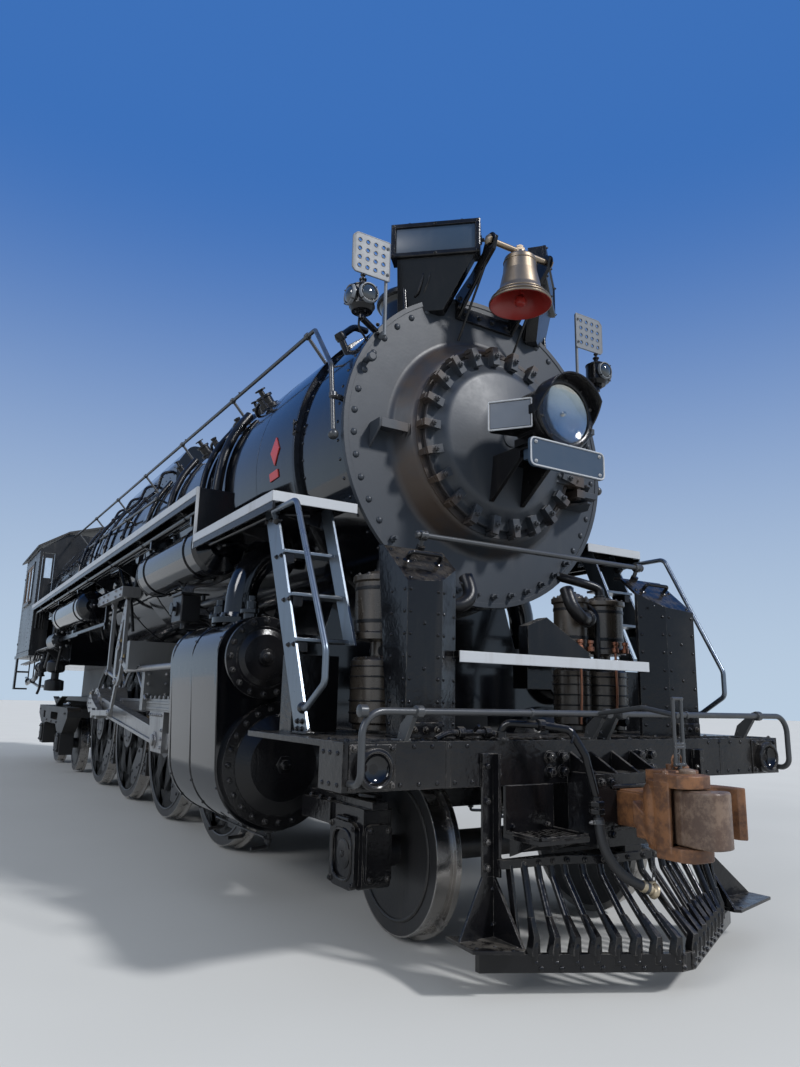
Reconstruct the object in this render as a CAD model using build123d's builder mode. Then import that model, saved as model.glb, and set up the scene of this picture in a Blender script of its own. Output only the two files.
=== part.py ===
"""A 2-8-4 steam locomotive, without its tender, as separate pieces.

All sizes are millimetres. +Z is up, the locomotive faces -Y and its right side is at -X. The origin is under
the middle of its length, at the level of the wheel flanges' tips.
"""
import math
import os

from build123d import *

os.makedirs("parts", exist_ok=True)

# Frame: lengths are given as a distance aft of the pilot beam's front face and a height above the rail top.
BEAM_FRONT = -7511.5
FLANGE = 28

# Side tables: the sign of X and the name of the side, and the crank's angle at rest above the level, aft.
RIGHT, LEFT = -1, 1
SIDES = ((RIGHT, "right", 45), (LEFT, "left", -45))

# Running gear
DRIVER_TREAD = 876
TRUCK_TREAD = 457
REAR_TREAD = 546
LEAD_AXLE = 870
DRIVER_AXLES = (3918, 5772, 7626, 9480)
MAIN_DRIVER = 2
TRAILING_AXLES = ((11580, TRUCK_TREAD, "trailing_wheels_front"), (13672, REAR_TREAD, "trailing_wheels_rear"))
TYRE_IN, TYRE_OUT = 678, 818
HUB_OUT = 855
DRIVER_JOURNAL = 150
TRUCK_JOURNAL = 85
RUNNING_FIT = 0.1

# Rods, each in its own plane outside the wheels
CRANK = 432
ECCENTRIC_THROW = 268
SIDE_ROD = (875, 985)
MAIN_EYE_OUT = 1080
MAIN_ROD = (1110, 1225)
BIG_END = (1095, 1241)
ECCENTRIC_CRANK = (1256, 1318)
ECCENTRIC_ROD = (1336, 1376)
MAIN_ROD_LENGTH = 3300
CYLINDER_X = 1175
CYLINDER_Z = 880
VALVE_X = 1370
VALVE_Z = 1570

# Boiler
BOILER_Z = 3114
SMOKEBOX_R = 1156
JACKET_R = 1190
FIREBOX_R = 1290
SMOKEBOX_FRONT, SMOKEBOX_RING, SMOKEBOX_BACK = 1067, 1097, 2530
DOOR_R = 640
DOOR_HOLE_R = 560
DOOR_HINGE = (745, 880)

# Boards, cab and tanks
BOARD_OUT = 1611
FRONT_BOARD_Z = 2547
REAR_BOARD_Z = 2939
BOARD_STEP = 2693
CAB_FRONT, CAB_BACK = 13200, 15700
CAB_HALF = 1580
CAB_FLOOR_Z = 2050
CAB_EAVES_Z = 4080
CAB_DOOR_HINGE = 1512
BACKHEAD = 13950

# Trucks
LEAD_PIVOT = 2350
TRAILING_PIVOT = 10640
PIVOT_R = 90


def aft(distance):
    """The Y of a place this far aft of the pilot beam's front face."""
    return BEAM_FRONT + distance


def up(height):
    """The Z of a height above the rail top."""
    return FLANGE + height


def block(x, d, h, mode=Mode.ADD):
    """A box between pairs of X, distance aft and height above the rail."""
    centre = (sum(x) / 2, aft(sum(d) / 2), up(sum(h) / 2))
    with Locations(centre):
        Box(abs(x[1] - x[0]), abs(d[1] - d[0]), abs(h[1] - h[0]), mode=mode)


def bar(start, end, radius, mode=Mode.ADD):
    """A round bar between two places (X, distance aft, height)."""
    a = Vector(start[0], aft(start[1]), up(start[2]))
    b = Vector(end[0], aft(end[1]), up(end[2]))
    with Locations(Plane(origin=(a + b) / 2, z_dir=b - a)):
        Cylinder(radius, (b - a).length, mode=mode)


def disc_x(x, d, h, radius, mode=Mode.ADD):
    """A round piece whose axis lies across the locomotive."""
    bar((x[0], d, h), (x[1], d, h), radius, mode)


def disc_y(x, d, h, radius, mode=Mode.ADD):
    """A round piece whose axis lies along the locomotive."""
    bar((x, d[0], h), (x, d[1], h), radius, mode)


def disc_z(x, d, h, radius, mode=Mode.ADD):
    """A round piece that stands upright."""
    bar((x, d, h[0]), (x, d, h[1]), radius, mode)


def flat_outline(points, corner):
    """The edges of a closed outline, its corners sharp or rounded by one radius or by a list of them."""
    with BuildLine() as outline:
        if corner:
            FilletPolyline(*points, radius=corner, close=True)
        else:
            Polyline(*points, close=True)
    return outline.edges()


def side_plate(x, outline, mode=Mode.ADD, corner=0):
    """A flat piece seen from the side: an outline of (distance aft, height) between two X."""
    with BuildSketch(Plane.YZ.offset(x[0])) as face:
        make_face(flat_outline([(aft(d), up(h)) for d, h in outline], corner))
    extrude(face.sketch, amount=x[1] - x[0], mode=mode)


def front_plate(d, outline, mode=Mode.ADD, corner=0):
    """A flat piece seen from the front: an outline of (X, height) between two distances aft."""
    with BuildSketch(Plane.XZ.offset(-aft(d[0]))) as face:
        make_face(flat_outline([(x, up(h)) for x, h in outline], corner))
    extrude(face.sketch, amount=d[0] - d[1], mode=mode)


def top_plate(h, outline, mode=Mode.ADD, corner=0):
    """A flat piece seen from above: an outline of (X, distance aft) between two heights."""
    with BuildSketch(Plane.XY.offset(up(h[0]))) as face:
        make_face(flat_outline([(x, aft(d)) for x, d in outline], corner))
    extrude(face.sketch, amount=h[1] - h[0], mode=mode)


def turned_y(x, h, outline, corner=0, mode=Mode.ADD):
    """A turned piece on an axis along the locomotive: an outline of (radius, distance aft)."""
    with BuildSketch(Plane.YZ.offset(x)) as face:
        make_face(flat_outline([(aft(d), up(h) + r) for r, d in outline], corner))
    revolve(face.sketch, axis=Axis((x, 0, up(h)), (0, 1, 0)), mode=mode)


def turned_z(x, d, outline, corner=0, mode=Mode.ADD):
    """A turned piece that stands upright: an outline of (radius, height)."""
    with BuildSketch(Plane.XZ.offset(-aft(d))) as face:
        make_face(flat_outline([(x + r, up(h)) for r, h in outline], corner))
    revolve(face.sketch, axis=Axis((x, aft(d), 0), (0, 0, 1)), mode=mode)


def turned_x(x, d, h, outline, corner=0, mode=Mode.ADD):
    """A turned piece on an axis across the locomotive: an outline of (radius, outward from x)."""
    side = 1 if x > 0 else -1
    with BuildSketch(Plane.XZ.offset(-aft(d))) as face:
        make_face(flat_outline([(x + side * reach, up(h) + r) for r, reach in outline], corner))
    revolve(face.sketch, axis=Axis((0, aft(d), up(h)), (1, 0, 0)), mode=mode)


def bent_bar(places, radius, bend):
    """A round bar along a path with rounded corners."""
    with BuildLine() as path:
        FilletPolyline(*[(x, aft(d), up(h)) for x, d, h in places], radius=bend)
    with BuildSketch(Plane(origin=path.line @ 0, z_dir=path.line % 0)) as section:
        Circle(radius)
    sweep(section.sketch, path=path.line)


def pin_place(axle, angle):
    """The crank pin's distance aft and height, for an axle and a crank angle."""
    a = math.radians(angle)
    return axle + CRANK * math.cos(a), DRIVER_TREAD + CRANK * math.sin(a)


def eccentric_place(angle):
    """The eccentric pin's distance aft and height, a quarter turn ahead of the main crank."""
    a = math.radians(angle + 90)
    return DRIVER_AXLES[MAIN_DRIVER] + ECCENTRIC_THROW * math.cos(a), DRIVER_TREAD + ECCENTRIC_THROW * math.sin(a)


def save(piece, name):
    """Label a finished piece and write it."""
    piece.part.label = name
    export_step(piece.part, f"parts/{name}.step")


def tyre_and_axle(d, tread, journal, axle_half):
    """An axle with a flanged tyre and a plain disc on each end."""
    disc_x((-axle_half, axle_half), d, tread, journal)
    for side in (RIGHT, LEFT):
        disc_x((side * TYRE_IN, side * TYRE_OUT), d, tread, tread)
        disc_x((side * TYRE_IN, side * (TYRE_IN + 34)), d, tread, tread + FLANGE)


# Engine bed: two side frames with jaws for the driving boxes, joined by cross pieces
FRAME_IN, FRAME_OUT = 430, 560
RAIL_LOW, REAR_RAIL_LOW, RAIL_TOP = 1080, 1150, 1230
JAW_HALF = 195
LEG = 135
LEG_LOW = 590
DRAWBAR_PIN = (15800, 57)
with BuildPart() as engine_bed:
    for side in (RIGHT, LEFT):
        frame_x = (side * FRAME_IN, side * FRAME_OUT)
        block(frame_x, (1750, 10900), (RAIL_LOW, RAIL_TOP))
        block(frame_x, (10900, 15500), (REAR_RAIL_LOW, RAIL_TOP))
        for axle in DRIVER_AXLES:
            for leg in (axle - JAW_HALF - LEG, axle + JAW_HALF):
                block(frame_x, (leg, leg + LEG), (LEG_LOW, RAIL_LOW))
            block(frame_x, (axle - JAW_HALF - LEG, axle + JAW_HALF + LEG), (LEG_LOW - 70, LEG_LOW))
    for axle in DRIVER_AXLES:
        block((-FRAME_IN, FRAME_IN), (axle + 777, axle + 1077), (RAIL_LOW, RAIL_TOP - 30))
    block((-FRAME_IN, FRAME_IN), (11950, 12100), (REAR_RAIL_LOW, RAIL_TOP))
    block((-FRAME_OUT, FRAME_OUT), (260, 1750), (1010, 1090))
    block((-FRAME_OUT, FRAME_OUT), (1750, 3300), (RAIL_LOW, RAIL_TOP))
    disc_z(0, LEAD_PIVOT, (690, RAIL_LOW), PIVOT_R)
    block((-300, 300), (TRAILING_PIVOT - 160, TRAILING_PIVOT + 160), (940, RAIL_LOW))
    disc_z(0, TRAILING_PIVOT, (700, 940), PIVOT_R)
    block((-250, 250), (15500, 15900), (900, 1180))
    disc_z(0, DRAWBAR_PIN[0], (895, 1185), DRAWBAR_PIN[1], Mode.SUBTRACT)
    block((-FRAME_OUT, FRAME_OUT), (15300, 15500), (900, RAIL_TOP))
save(engine_bed, "engine_bed")

with BuildPart() as driving_boxes:
    for side in (RIGHT, LEFT):
        for axle in DRIVER_AXLES:
            block((side * (FRAME_IN - 15), side * (FRAME_OUT + 15)), (axle - JAW_HALF + 1, axle + JAW_HALF - 1),
                  (DRIVER_TREAD - 190, DRIVER_TREAD + 190))
            disc_x((side * (FRAME_IN - 20), side * (FRAME_OUT + 20)), axle, DRIVER_TREAD,
                   DRIVER_JOURNAL + RUNNING_FIT, Mode.SUBTRACT)
save(driving_boxes, "driving_boxes")

# Brakes: a shoe ahead of each driver, low between the wheels, on a hanger from the frame
SHOE_GAP = 10
with BuildPart() as brakes:
    for side in (RIGHT, LEFT):
        for axle in DRIVER_AXLES:
            block((side * 722, side * 808), (axle - 905, axle - 700), (340, 610))
            disc_x((side * 715, side * 815), axle, DRIVER_TREAD, DRIVER_TREAD + SHOE_GAP, Mode.SUBTRACT)
            block((side * 500, side * 740), (axle - 900, axle - 850), (450, 510))
            block((side * 460, side * 510), (axle - 900, axle - 850), (450, RAIL_LOW))
save(brakes, "brakes")

# Driving wheels: tyres, hollow-spoked centres, hubs, crank pins and counterweights, the two cranks a quarter turn apart
PIN_R = 80
MAIN_PIN_R = 110
SPOKE_HOLES = (40, 80, 120, -120, -80, -40)
HOLE = ((330, -62), (330, 62), (690, 125), (690, -125))
WEIGHT = ((500, -175), (500, 175), (640, 330), (765, 210), (790, 0), (765, -210), (640, -330))


def turned_points(outline, axle, angle):
    """An outline of (distance from the axle along a spoke, distance across it) as places on the wheel."""
    a = math.radians(angle)
    return [(axle + r * math.cos(a) - t * math.sin(a), DRIVER_TREAD + r * math.sin(a) + t * math.cos(a))
            for r, t in outline]


for number, axle in enumerate(DRIVER_AXLES):
    main = number == MAIN_DRIVER
    with BuildPart() as driver:
        disc_x((-TYRE_IN, TYRE_IN), axle, DRIVER_TREAD, DRIVER_JOURNAL)
        for side, _, angle in SIDES:
            pin_d, pin_h = pin_place(axle, angle)
            turned_x(side * TYRE_IN, axle, DRIVER_TREAD, (
                (0, 0), (DRIVER_TREAD + 18, 0), (DRIVER_TREAD + FLANGE, 12), (DRIVER_TREAD + FLANGE, 24),
                (DRIVER_TREAD + 5, 36), (DRIVER_TREAD, 44), (DRIVER_TREAD - 3, 140), (800, 140), (790, 112), (0, 112)))
            for turn in SPOKE_HOLES:
                side_plate((side * (TYRE_IN - 5), side * (TYRE_OUT + 5)), turned_points(HOLE, axle, angle + turn),
                           Mode.SUBTRACT, 45)
            side_plate((side * (TYRE_IN + 100), side * (TYRE_OUT - 4)), turned_points(WEIGHT, axle, angle + 180))
            disc_x((side * (TYRE_IN - 60), side * HUB_OUT), axle, DRIVER_TREAD, 250)
            disc_x((side * TYRE_IN, side * HUB_OUT), pin_d, pin_h, 170)
            pin_end = MAIN_EYE_OUT + 4 if main else SIDE_ROD[1] + 5
            disc_x((side * HUB_OUT, side * pin_end), pin_d, pin_h, MAIN_PIN_R if main else PIN_R)
            if not main:
                disc_x((side * pin_end, side * (pin_end + 14)), pin_d, pin_h, PIN_R + 30)
    save(driver, f"driver_{number + 1}")

# Side rods: one rigid rod a side, fluted outside, with an eye at each crank pin
FLUTE = 18
for side, name, angle in SIDES:
    with BuildPart() as side_rod:
        pins = [pin_place(axle, angle) for axle in DRIVER_AXLES]
        rod_h = pins[0][1]
        for (start, _), (end, _) in zip(pins, pins[1:]):
            block((side * 900, side * 965), (start, end), (rod_h - 75, rod_h + 75))
            block((side * (965 - FLUTE), side * 970), (start + 260, end - 260), (rod_h - 42, rod_h + 42), Mode.SUBTRACT)
        for number, (pin_d, pin_h) in enumerate(pins):
            main = number == MAIN_DRIVER
            disc_x((side * SIDE_ROD[0], side * (MAIN_EYE_OUT if main else SIDE_ROD[1])), pin_d, pin_h,
                   215 if main else 160)
        for number, (pin_d, pin_h) in enumerate(pins):
            main = number == MAIN_DRIVER
            hole = MAIN_PIN_R + RUNNING_FIT if main else PIN_R + 1
            disc_x((side * (SIDE_ROD[0] - 5), side * (MAIN_EYE_OUT + 5)), pin_d, pin_h, hole, Mode.SUBTRACT)
    save(side_rod, f"side_rods_{name}")

# Crossheads, guides and main rods
WRIST_R = 60
GUIDE = (1150, 1270)
CROSSHEAD_HALF = 250
PISTON_ROD_R = 57
PISTON_ROD_FRONT = 2660
for side, name, angle in SIDES:
    main_d, main_h = pin_place(DRIVER_AXLES[MAIN_DRIVER], angle)
    wrist = main_d - math.sqrt(MAIN_ROD_LENGTH ** 2 - (main_h - CYLINDER_Z) ** 2)
    with BuildPart() as crosshead:
        for inner, outer in ((CYLINDER_X - 115, CYLINDER_X - 70), (CYLINDER_X + 56, CYLINDER_X + 101)):
            side_plate((side * inner, side * outer), (
                (wrist - 190, CYLINDER_Z - 110), (wrist + 120, CYLINDER_Z - 110), (wrist + CROSSHEAD_HALF, GUIDE[0] - 60),
                (wrist + CROSSHEAD_HALF, GUIDE[0] - 1), (wrist - CROSSHEAD_HALF, GUIDE[0] - 1),
                (wrist - CROSSHEAD_HALF, CYLINDER_Z + 60)))
        block((side * (CYLINDER_X - 115), side * (CYLINDER_X + 101)), (wrist - CROSSHEAD_HALF, wrist + CROSSHEAD_HALF),
              (GUIDE[0] - 61, GUIDE[0] - 1))
        block((side * (CYLINDER_X - 115), side * (CYLINDER_X + 101)), (wrist - 270, wrist - 200),
              (CYLINDER_Z - 110, GUIDE[0] - 1))
        disc_x((side * (CYLINDER_X - 115), side * (CYLINDER_X + 101)), wrist, CYLINDER_Z, WRIST_R)
        disc_y(side * CYLINDER_X, (PISTON_ROD_FRONT, wrist - 200), CYLINDER_Z, PISTON_ROD_R)
    save(crosshead, f"crosshead_{name}")

    with BuildPart() as main_rod:
        slope = math.atan2(main_h - CYLINDER_Z, main_d - wrist)


        def along(outline):
            """An outline of (distance along the main rod from the wrist, distance above its middle line)."""
            return [(wrist + r * math.cos(slope) - t * math.sin(slope),
                     CYLINDER_Z + r * math.sin(slope) + t * math.cos(slope)) for r, t in outline]


        side_plate((side * MAIN_ROD[0], side * MAIN_ROD[1]), along((
            (0, -80), (MAIN_ROD_LENGTH, -105), (MAIN_ROD_LENGTH, 105), (0, 80))))
        side_plate((side * (MAIN_ROD[1] - FLUTE), side * (MAIN_ROD[1] + 5)), along((
            (190, -48), (MAIN_ROD_LENGTH - 330, -68), (MAIN_ROD_LENGTH - 330, 68), (190, 48))), Mode.SUBTRACT, 30)
        disc_x((side * MAIN_ROD[0], side * MAIN_ROD[1]), wrist, CYLINDER_Z, 125)
        disc_x((side * BIG_END[0], side * BIG_END[1]), main_d, main_h, 200)
        side_plate((side * BIG_END[0], side * BIG_END[1]), along((
            (MAIN_ROD_LENGTH - 260, -130), (MAIN_ROD_LENGTH, -200), (MAIN_ROD_LENGTH, 200), (MAIN_ROD_LENGTH - 260, 130))))
        disc_x((side * (MAIN_ROD[0] - 5), side * (MAIN_ROD[1] + 5)), wrist, CYLINDER_Z, WRIST_R + RUNNING_FIT,
               Mode.SUBTRACT)
        disc_x((side * BIG_END[1], side * ECCENTRIC_CRANK[1]), main_d, main_h, 120)
        eccentric_d, eccentric_h = eccentric_place(angle)
        disc_x((side * ECCENTRIC_CRANK[0], side * ECCENTRIC_CRANK[1]), eccentric_d, eccentric_h, 75)
        tilt = math.atan2(eccentric_h - main_h, eccentric_d - main_d)
        side_plate((side * ECCENTRIC_CRANK[0], side * ECCENTRIC_CRANK[1]), [
            (d - half * math.sin(tilt), h + half * math.cos(tilt)) for d, h, half in (
                (main_d, main_h, -90), (eccentric_d, eccentric_h, -60), (eccentric_d, eccentric_h, 60),
                (main_d, main_h, 90))])
    save(main_rod, f"main_rod_{name}")

GUIDE_BACK = 5060
with BuildPart() as guides:
    for side in (RIGHT, LEFT):
        block((side * (CYLINDER_X - 110), side * (CYLINDER_X + 95)), (3060, GUIDE_BACK), GUIDE)
        block((side * (FRAME_OUT + 5), side * 1500), (GUIDE_BACK, GUIDE_BACK + 110), (1560, 1850))
        block((side * 1045, side * 1320), (GUIDE_BACK, GUIDE_BACK + 110), (GUIDE[0], 1560))
        disc_y(side * VALVE_X, (GUIDE_BACK - 5, GUIDE_BACK + 115), VALVE_Z, 40, Mode.SUBTRACT)
save(guides, "crosshead_guides")

# Cylinders: barrel and valve chest in one wrapper, with the half saddles between them
CYLINDER_FRONT, CYLINDER_REAR = 1800, 2920
with BuildPart() as cylinders:
    for side in (RIGHT, LEFT):
        with BuildSketch(Plane.XZ.offset(-aft(CYLINDER_FRONT))) as section:
            with Locations((side * CYLINDER_X, up(CYLINDER_Z))):
                Circle(430)
            with Locations((side * VALVE_X, up(VALVE_Z))):
                Circle(275)
            make_hull()
        extrude(section.sketch, amount=CYLINDER_FRONT - CYLINDER_REAR)
        block((side * 560, side * 1100), (CYLINDER_FRONT, CYLINDER_REAR), (760, 1750))
        disc_y(side * VALVE_X, (CYLINDER_FRONT - 130, CYLINDER_REAR + 130), VALVE_Z, 225)
    front_plate((CYLINDER_FRONT, CYLINDER_REAR), (
        (-760, RAIL_TOP), (760, RAIL_TOP), (900, 1700), (760, 2150), (-760, 2150), (-900, 1700)))
    disc_y(0, (CYLINDER_FRONT - 5, SMOKEBOX_BACK), BOILER_Z, SMOKEBOX_R, Mode.SUBTRACT)
    disc_y(0, (SMOKEBOX_BACK - 1, CYLINDER_REAR + 5), BOILER_Z, JACKET_R + 1, Mode.SUBTRACT)
    block((-FRAME_OUT, FRAME_OUT), (CYLINDER_FRONT, CYLINDER_REAR), (600, RAIL_TOP), Mode.SUBTRACT)
    for side in (RIGHT, LEFT):
        disc_y(side * CYLINDER_X, (CYLINDER_FRONT + 40, CYLINDER_REAR + 5), CYLINDER_Z,
               PISTON_ROD_R + RUNNING_FIT, Mode.SUBTRACT)
save(cylinders, "cylinders")

HEAD = ((0, -112), (235, -105), (290, -80), (330, -62), (405, -58), (405, 0), (0, 0))
CHEST_HEAD = ((0, -178), (150, -172), (185, -158), (270, -154), (270, -130), (0, -130))
REAR_HEAD = ((0, 150), (125, 150), (140, 62), (330, 62), (400, 50), (400, 0), (0, 0))
with BuildPart() as cylinder_heads:
    for side in (RIGHT, LEFT):
        turned_y(side * CYLINDER_X, CYLINDER_Z, [(r, CYLINDER_FRONT + d) for r, d in HEAD])
        turned_y(side * VALVE_X, VALVE_Z, [(r, CYLINDER_FRONT + d) for r, d in CHEST_HEAD])
        turned_y(side * CYLINDER_X, CYLINDER_Z, [(r, CYLINDER_REAR + d) for r, d in REAR_HEAD])
        disc_y(side * CYLINDER_X, (CYLINDER_REAR - 1, CYLINDER_REAR + 155), CYLINDER_Z,
               PISTON_ROD_R + RUNNING_FIT, Mode.SUBTRACT)
save(cylinder_heads, "cylinder_heads")

# Smokebox: a plate that flares forward to the door hole, with hinge lugs and steps, and the hollow drum behind it
PLATE = 30
LIP = 910
HINGE_Z = 260
with BuildPart() as smokebox_front:
    turned_y(0, BOILER_Z, (
        (DOOR_HOLE_R, LIP), (700, LIP), (800, SMOKEBOX_FRONT), (SMOKEBOX_R, SMOKEBOX_FRONT), (SMOKEBOX_R, SMOKEBOX_RING),
        (790, SMOKEBOX_RING), (690, LIP + PLATE), (DOOR_HOLE_R, LIP + PLATE)), (0, 60, 60, 0, 0, 30, 30, 0))
    for h in (-HINGE_Z, HINGE_Z):
        block((DOOR_HINGE[0] - 40, DOOR_HINGE[0] + 40), (DOOR_HINGE[1] - 35, SMOKEBOX_FRONT),
              (BOILER_Z + h - 30, BOILER_Z + h + 30))
        side_plate((DOOR_HINGE[0] + 40, DOOR_HINGE[0] + 160), (
            (DOOR_HINGE[1] - 35, BOILER_Z + h - 22), (SMOKEBOX_FRONT, BOILER_Z + h - 60),
            (SMOKEBOX_FRONT, BOILER_Z + h + 60), (DOOR_HINGE[1] - 35, BOILER_Z + h + 22)))
        disc_z(DOOR_HINGE[0], DOOR_HINGE[1], (BOILER_Z + h - 40, BOILER_Z + h + 40), 22 + RUNNING_FIT, Mode.SUBTRACT)
    front_plate((945, SMOKEBOX_FRONT), ((-945, 3085), (-735, 3085), (-735, 3115), (-945, 3115)))
    for x in (-945, -750):
        side_plate((x, x + 15), ((945, 3085), (SMOKEBOX_FRONT, 2990), (SMOKEBOX_FRONT, 3085)))
    disc_y(0, (LIP - 5, SMOKEBOX_RING), BOILER_Z, DOOR_HOLE_R, Mode.SUBTRACT)
save(smokebox_front, "smokebox_front")

with BuildPart() as smokebox:
    disc_y(0, (SMOKEBOX_RING, SMOKEBOX_BACK), BOILER_Z, SMOKEBOX_R)
    disc_y(0, (SMOKEBOX_RING - 5, SMOKEBOX_BACK - PLATE), BOILER_Z, SMOKEBOX_R - PLATE, Mode.SUBTRACT)
save(smokebox, "smokebox")

# Smokebox door: dished, with a ring of clamps round its edge and two hinge straps
DOOR_BACK = LIP - 5
DOOR_FACE = 760
RIM_FACE = 873
CLAMPS = 22
DOOR_OUTLINE = ((0, DOOR_BACK), (DOOR_R, DOOR_BACK), (DOOR_R, RIM_FACE), (580, RIM_FACE), (500, 815), (250, 773),
                (0, DOOR_FACE))
DOOR_CORNERS = (0, 0, 8, 35, 90, 400, 0)
with BuildPart() as smokebox_door:
    turned_y(0, BOILER_Z, DOOR_OUTLINE, DOOR_CORNERS)
    for n in range(CLAMPS):
        turn = (n + 0.5) * 360 / CLAMPS
        with Locations(Location((0, aft(0), up(BOILER_Z)), (0, turn, 0))):
            with Locations((0, 851, 618)):
                Box(46, 44, 92)
            with Locations((0, 870, 655)):
                Box(46, 66, 20)
    for h in (-165, 165):
        block((430, DOOR_HINGE[0] + 30), (DOOR_HINGE[1] - 40, DOOR_HINGE[1] - 8), (BOILER_Z + h - 45, BOILER_Z + h + 45))
    disc_z(DOOR_HINGE[0], DOOR_HINGE[1], (BOILER_Z - 300, BOILER_Z + 300), 22)
save(smokebox_door, "smokebox_door")

# Headlight on its bracket, with a hood, a blank angled board on each side and a blank plate below
HEADLIGHT_H = 3131
LAMP_R = 215
with BuildPart() as headlight:
    turned_y(0, HEADLIGHT_H, (
        (0, 250), (195, 250), (195, 225), (LAMP_R + 12, 225), (LAMP_R + 12, 265), (LAMP_R, 270), (LAMP_R, 480),
        (170, 530), (0, 530)))
    with BuildSketch(Plane.XZ.offset(-aft(250))) as hood:
        with Locations((0, up(HEADLIGHT_H))):
            Circle(LAMP_R + 28)
            Circle(LAMP_R + 18, mode=Mode.SUBTRACT)
        with Locations((0, up(HEADLIGHT_H) - 250)):
            Rectangle(600, 430, mode=Mode.SUBTRACT)
    extrude(hood.sketch, amount=140)
    side_plate((-260, 260), ((100, HEADLIGHT_H - 60), (100, HEADLIGHT_H + 110), (235, HEADLIGHT_H - 60)), Mode.SUBTRACT)
    disc_y(0, (235, 255), HEADLIGHT_H, LAMP_R + 28)
    disc_y(0, (220, 245), HEADLIGHT_H, 195, Mode.SUBTRACT)
    for side in (RIGHT, LEFT):
        top_plate((HEADLIGHT_H - 114, HEADLIGHT_H + 76), (
            (side * 120, 300), (side * 222, 285), (side * 392, 508), (side * 352, 538), (side * 120, 480)))
    block((-170, 170), (330, 520), (2950, 3000))
    block((-150, 150), (400, 850), (2925, 2960))
    for side in (RIGHT, LEFT):
        side_plate((side * 120, side * 150), ((490, 2925), (490, 2880), (800, 2650), (880, 2650), (880, 2925)))
    turned_y(0, BOILER_Z, DOOR_OUTLINE, DOOR_CORNERS, Mode.SUBTRACT)
save(headlight, "headlight")

with BuildPart() as headlight_plate:
    front_plate((200, 220), ((-315, 2728), (315, 2728), (315, 2915), (-315, 2915)), corner=35)
    for side in (RIGHT, LEFT):
        side_plate((side * 105, side * 135), ((220, 2860), (470, 2860), (470, 2925), (400, 2925), (330, 2900), (220, 2900)))
save(headlight_plate, "headlight_plate")

# Boiler with its jacket, growing towards the firebox, and the firebox's sides below it
BOILER_OUTLINE = ((0, SMOKEBOX_BACK), (JACKET_R, SMOKEBOX_BACK), (JACKET_R, 6600), (FIREBOX_R, 8800),
                  (FIREBOX_R, BACKHEAD), (0, BACKHEAD))
with BuildPart() as boiler:
    turned_y(0, BOILER_Z, BOILER_OUTLINE)
    block((-1240, 1240), (10450, BACKHEAD - 20), (1750, BOILER_Z))
save(boiler, "boiler")

with BuildPart() as ashpan:
    front_plate((12150, 13000), ((-420, 1080), (-420, 700), (-250, 480), (250, 480), (420, 700), (420, 1080)))
    block((-425, 425), (10900, 13900), (1231, 1749))
save(ashpan, "ashpan")

# Things on top of the boiler
with BuildPart() as stack:
    turned_z(0, 2050, (
        (225, 4100), (290, 4100), (290, 4640), (325, 4690), (325, 4740), (225, 4740)), (0, 0, 40, 20, 10, 10))
    disc_y(0, (1700, 2400), BOILER_Z, SMOKEBOX_R, Mode.SUBTRACT)
save(stack, "stack")

SAND_DOME = ((-620, 3900), (-620, 4480), (-450, 4760), (450, 4760), (620, 4480), (620, 3900))
TURRET = ((-430, 3900), (-430, 4480), (-330, 4560), (330, 4560), (430, 4480), (430, 3900))
with BuildPart() as domes:
    front_plate((7200, 10400), SAND_DOME, corner=(0, 180, 150, 150, 180, 0))
    turned_z(0, 5350, ((0, 3900), (520, 3900), (520, 4420), (400, 4620), (0, 4640)), (0, 0, 150, 150, 0))
    front_plate((12500, 13150), TURRET, corner=(0, 60, 60, 60, 60, 0))
    turned_y(0, BOILER_Z, BOILER_OUTLINE, mode=Mode.SUBTRACT)
save(domes, "domes")

# Running boards and the front ladders
BRACKETS = (3200, 4700, 6200, 7700, 9200, 10700, 12200)
for side, name, _ in SIDES:
    with BuildPart() as running_board:
        block((side * 1027, side * BOARD_OUT), (1072, BOARD_STEP), (FRONT_BOARD_Z - 20, FRONT_BOARD_Z))
        block((side * (BOARD_OUT - 15), side * BOARD_OUT), (1072, BOARD_STEP), (FRONT_BOARD_Z - 110, FRONT_BOARD_Z))
        block((side * 1027, side * BOARD_OUT), (1072, 1087), (FRONT_BOARD_Z - 60, FRONT_BOARD_Z))
        block((side * 1300, side * BOARD_OUT), (BOARD_STEP, CAB_FRONT - 10), (REAR_BOARD_Z - 20, REAR_BOARD_Z))
        block((side * (BOARD_OUT - 15), side * BOARD_OUT), (BOARD_STEP, CAB_FRONT - 10),
              (REAR_BOARD_Z - 110, REAR_BOARD_Z))
        block((side * 1300, side * BOARD_OUT), (BOARD_STEP, BOARD_STEP + 15), (FRONT_BOARD_Z - 20, REAR_BOARD_Z))
        for d in BRACKETS:
            block((side * 1100, side * (BOARD_OUT - 15)), (d, d + 40), (REAR_BOARD_Z - 110, REAR_BOARD_Z - 20))
        disc_y(0, (SMOKEBOX_BACK - 1, 13300), BOILER_Z, FIREBOX_R + 6, Mode.SUBTRACT)
    save(running_board, f"running_board_{name}")

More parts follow.
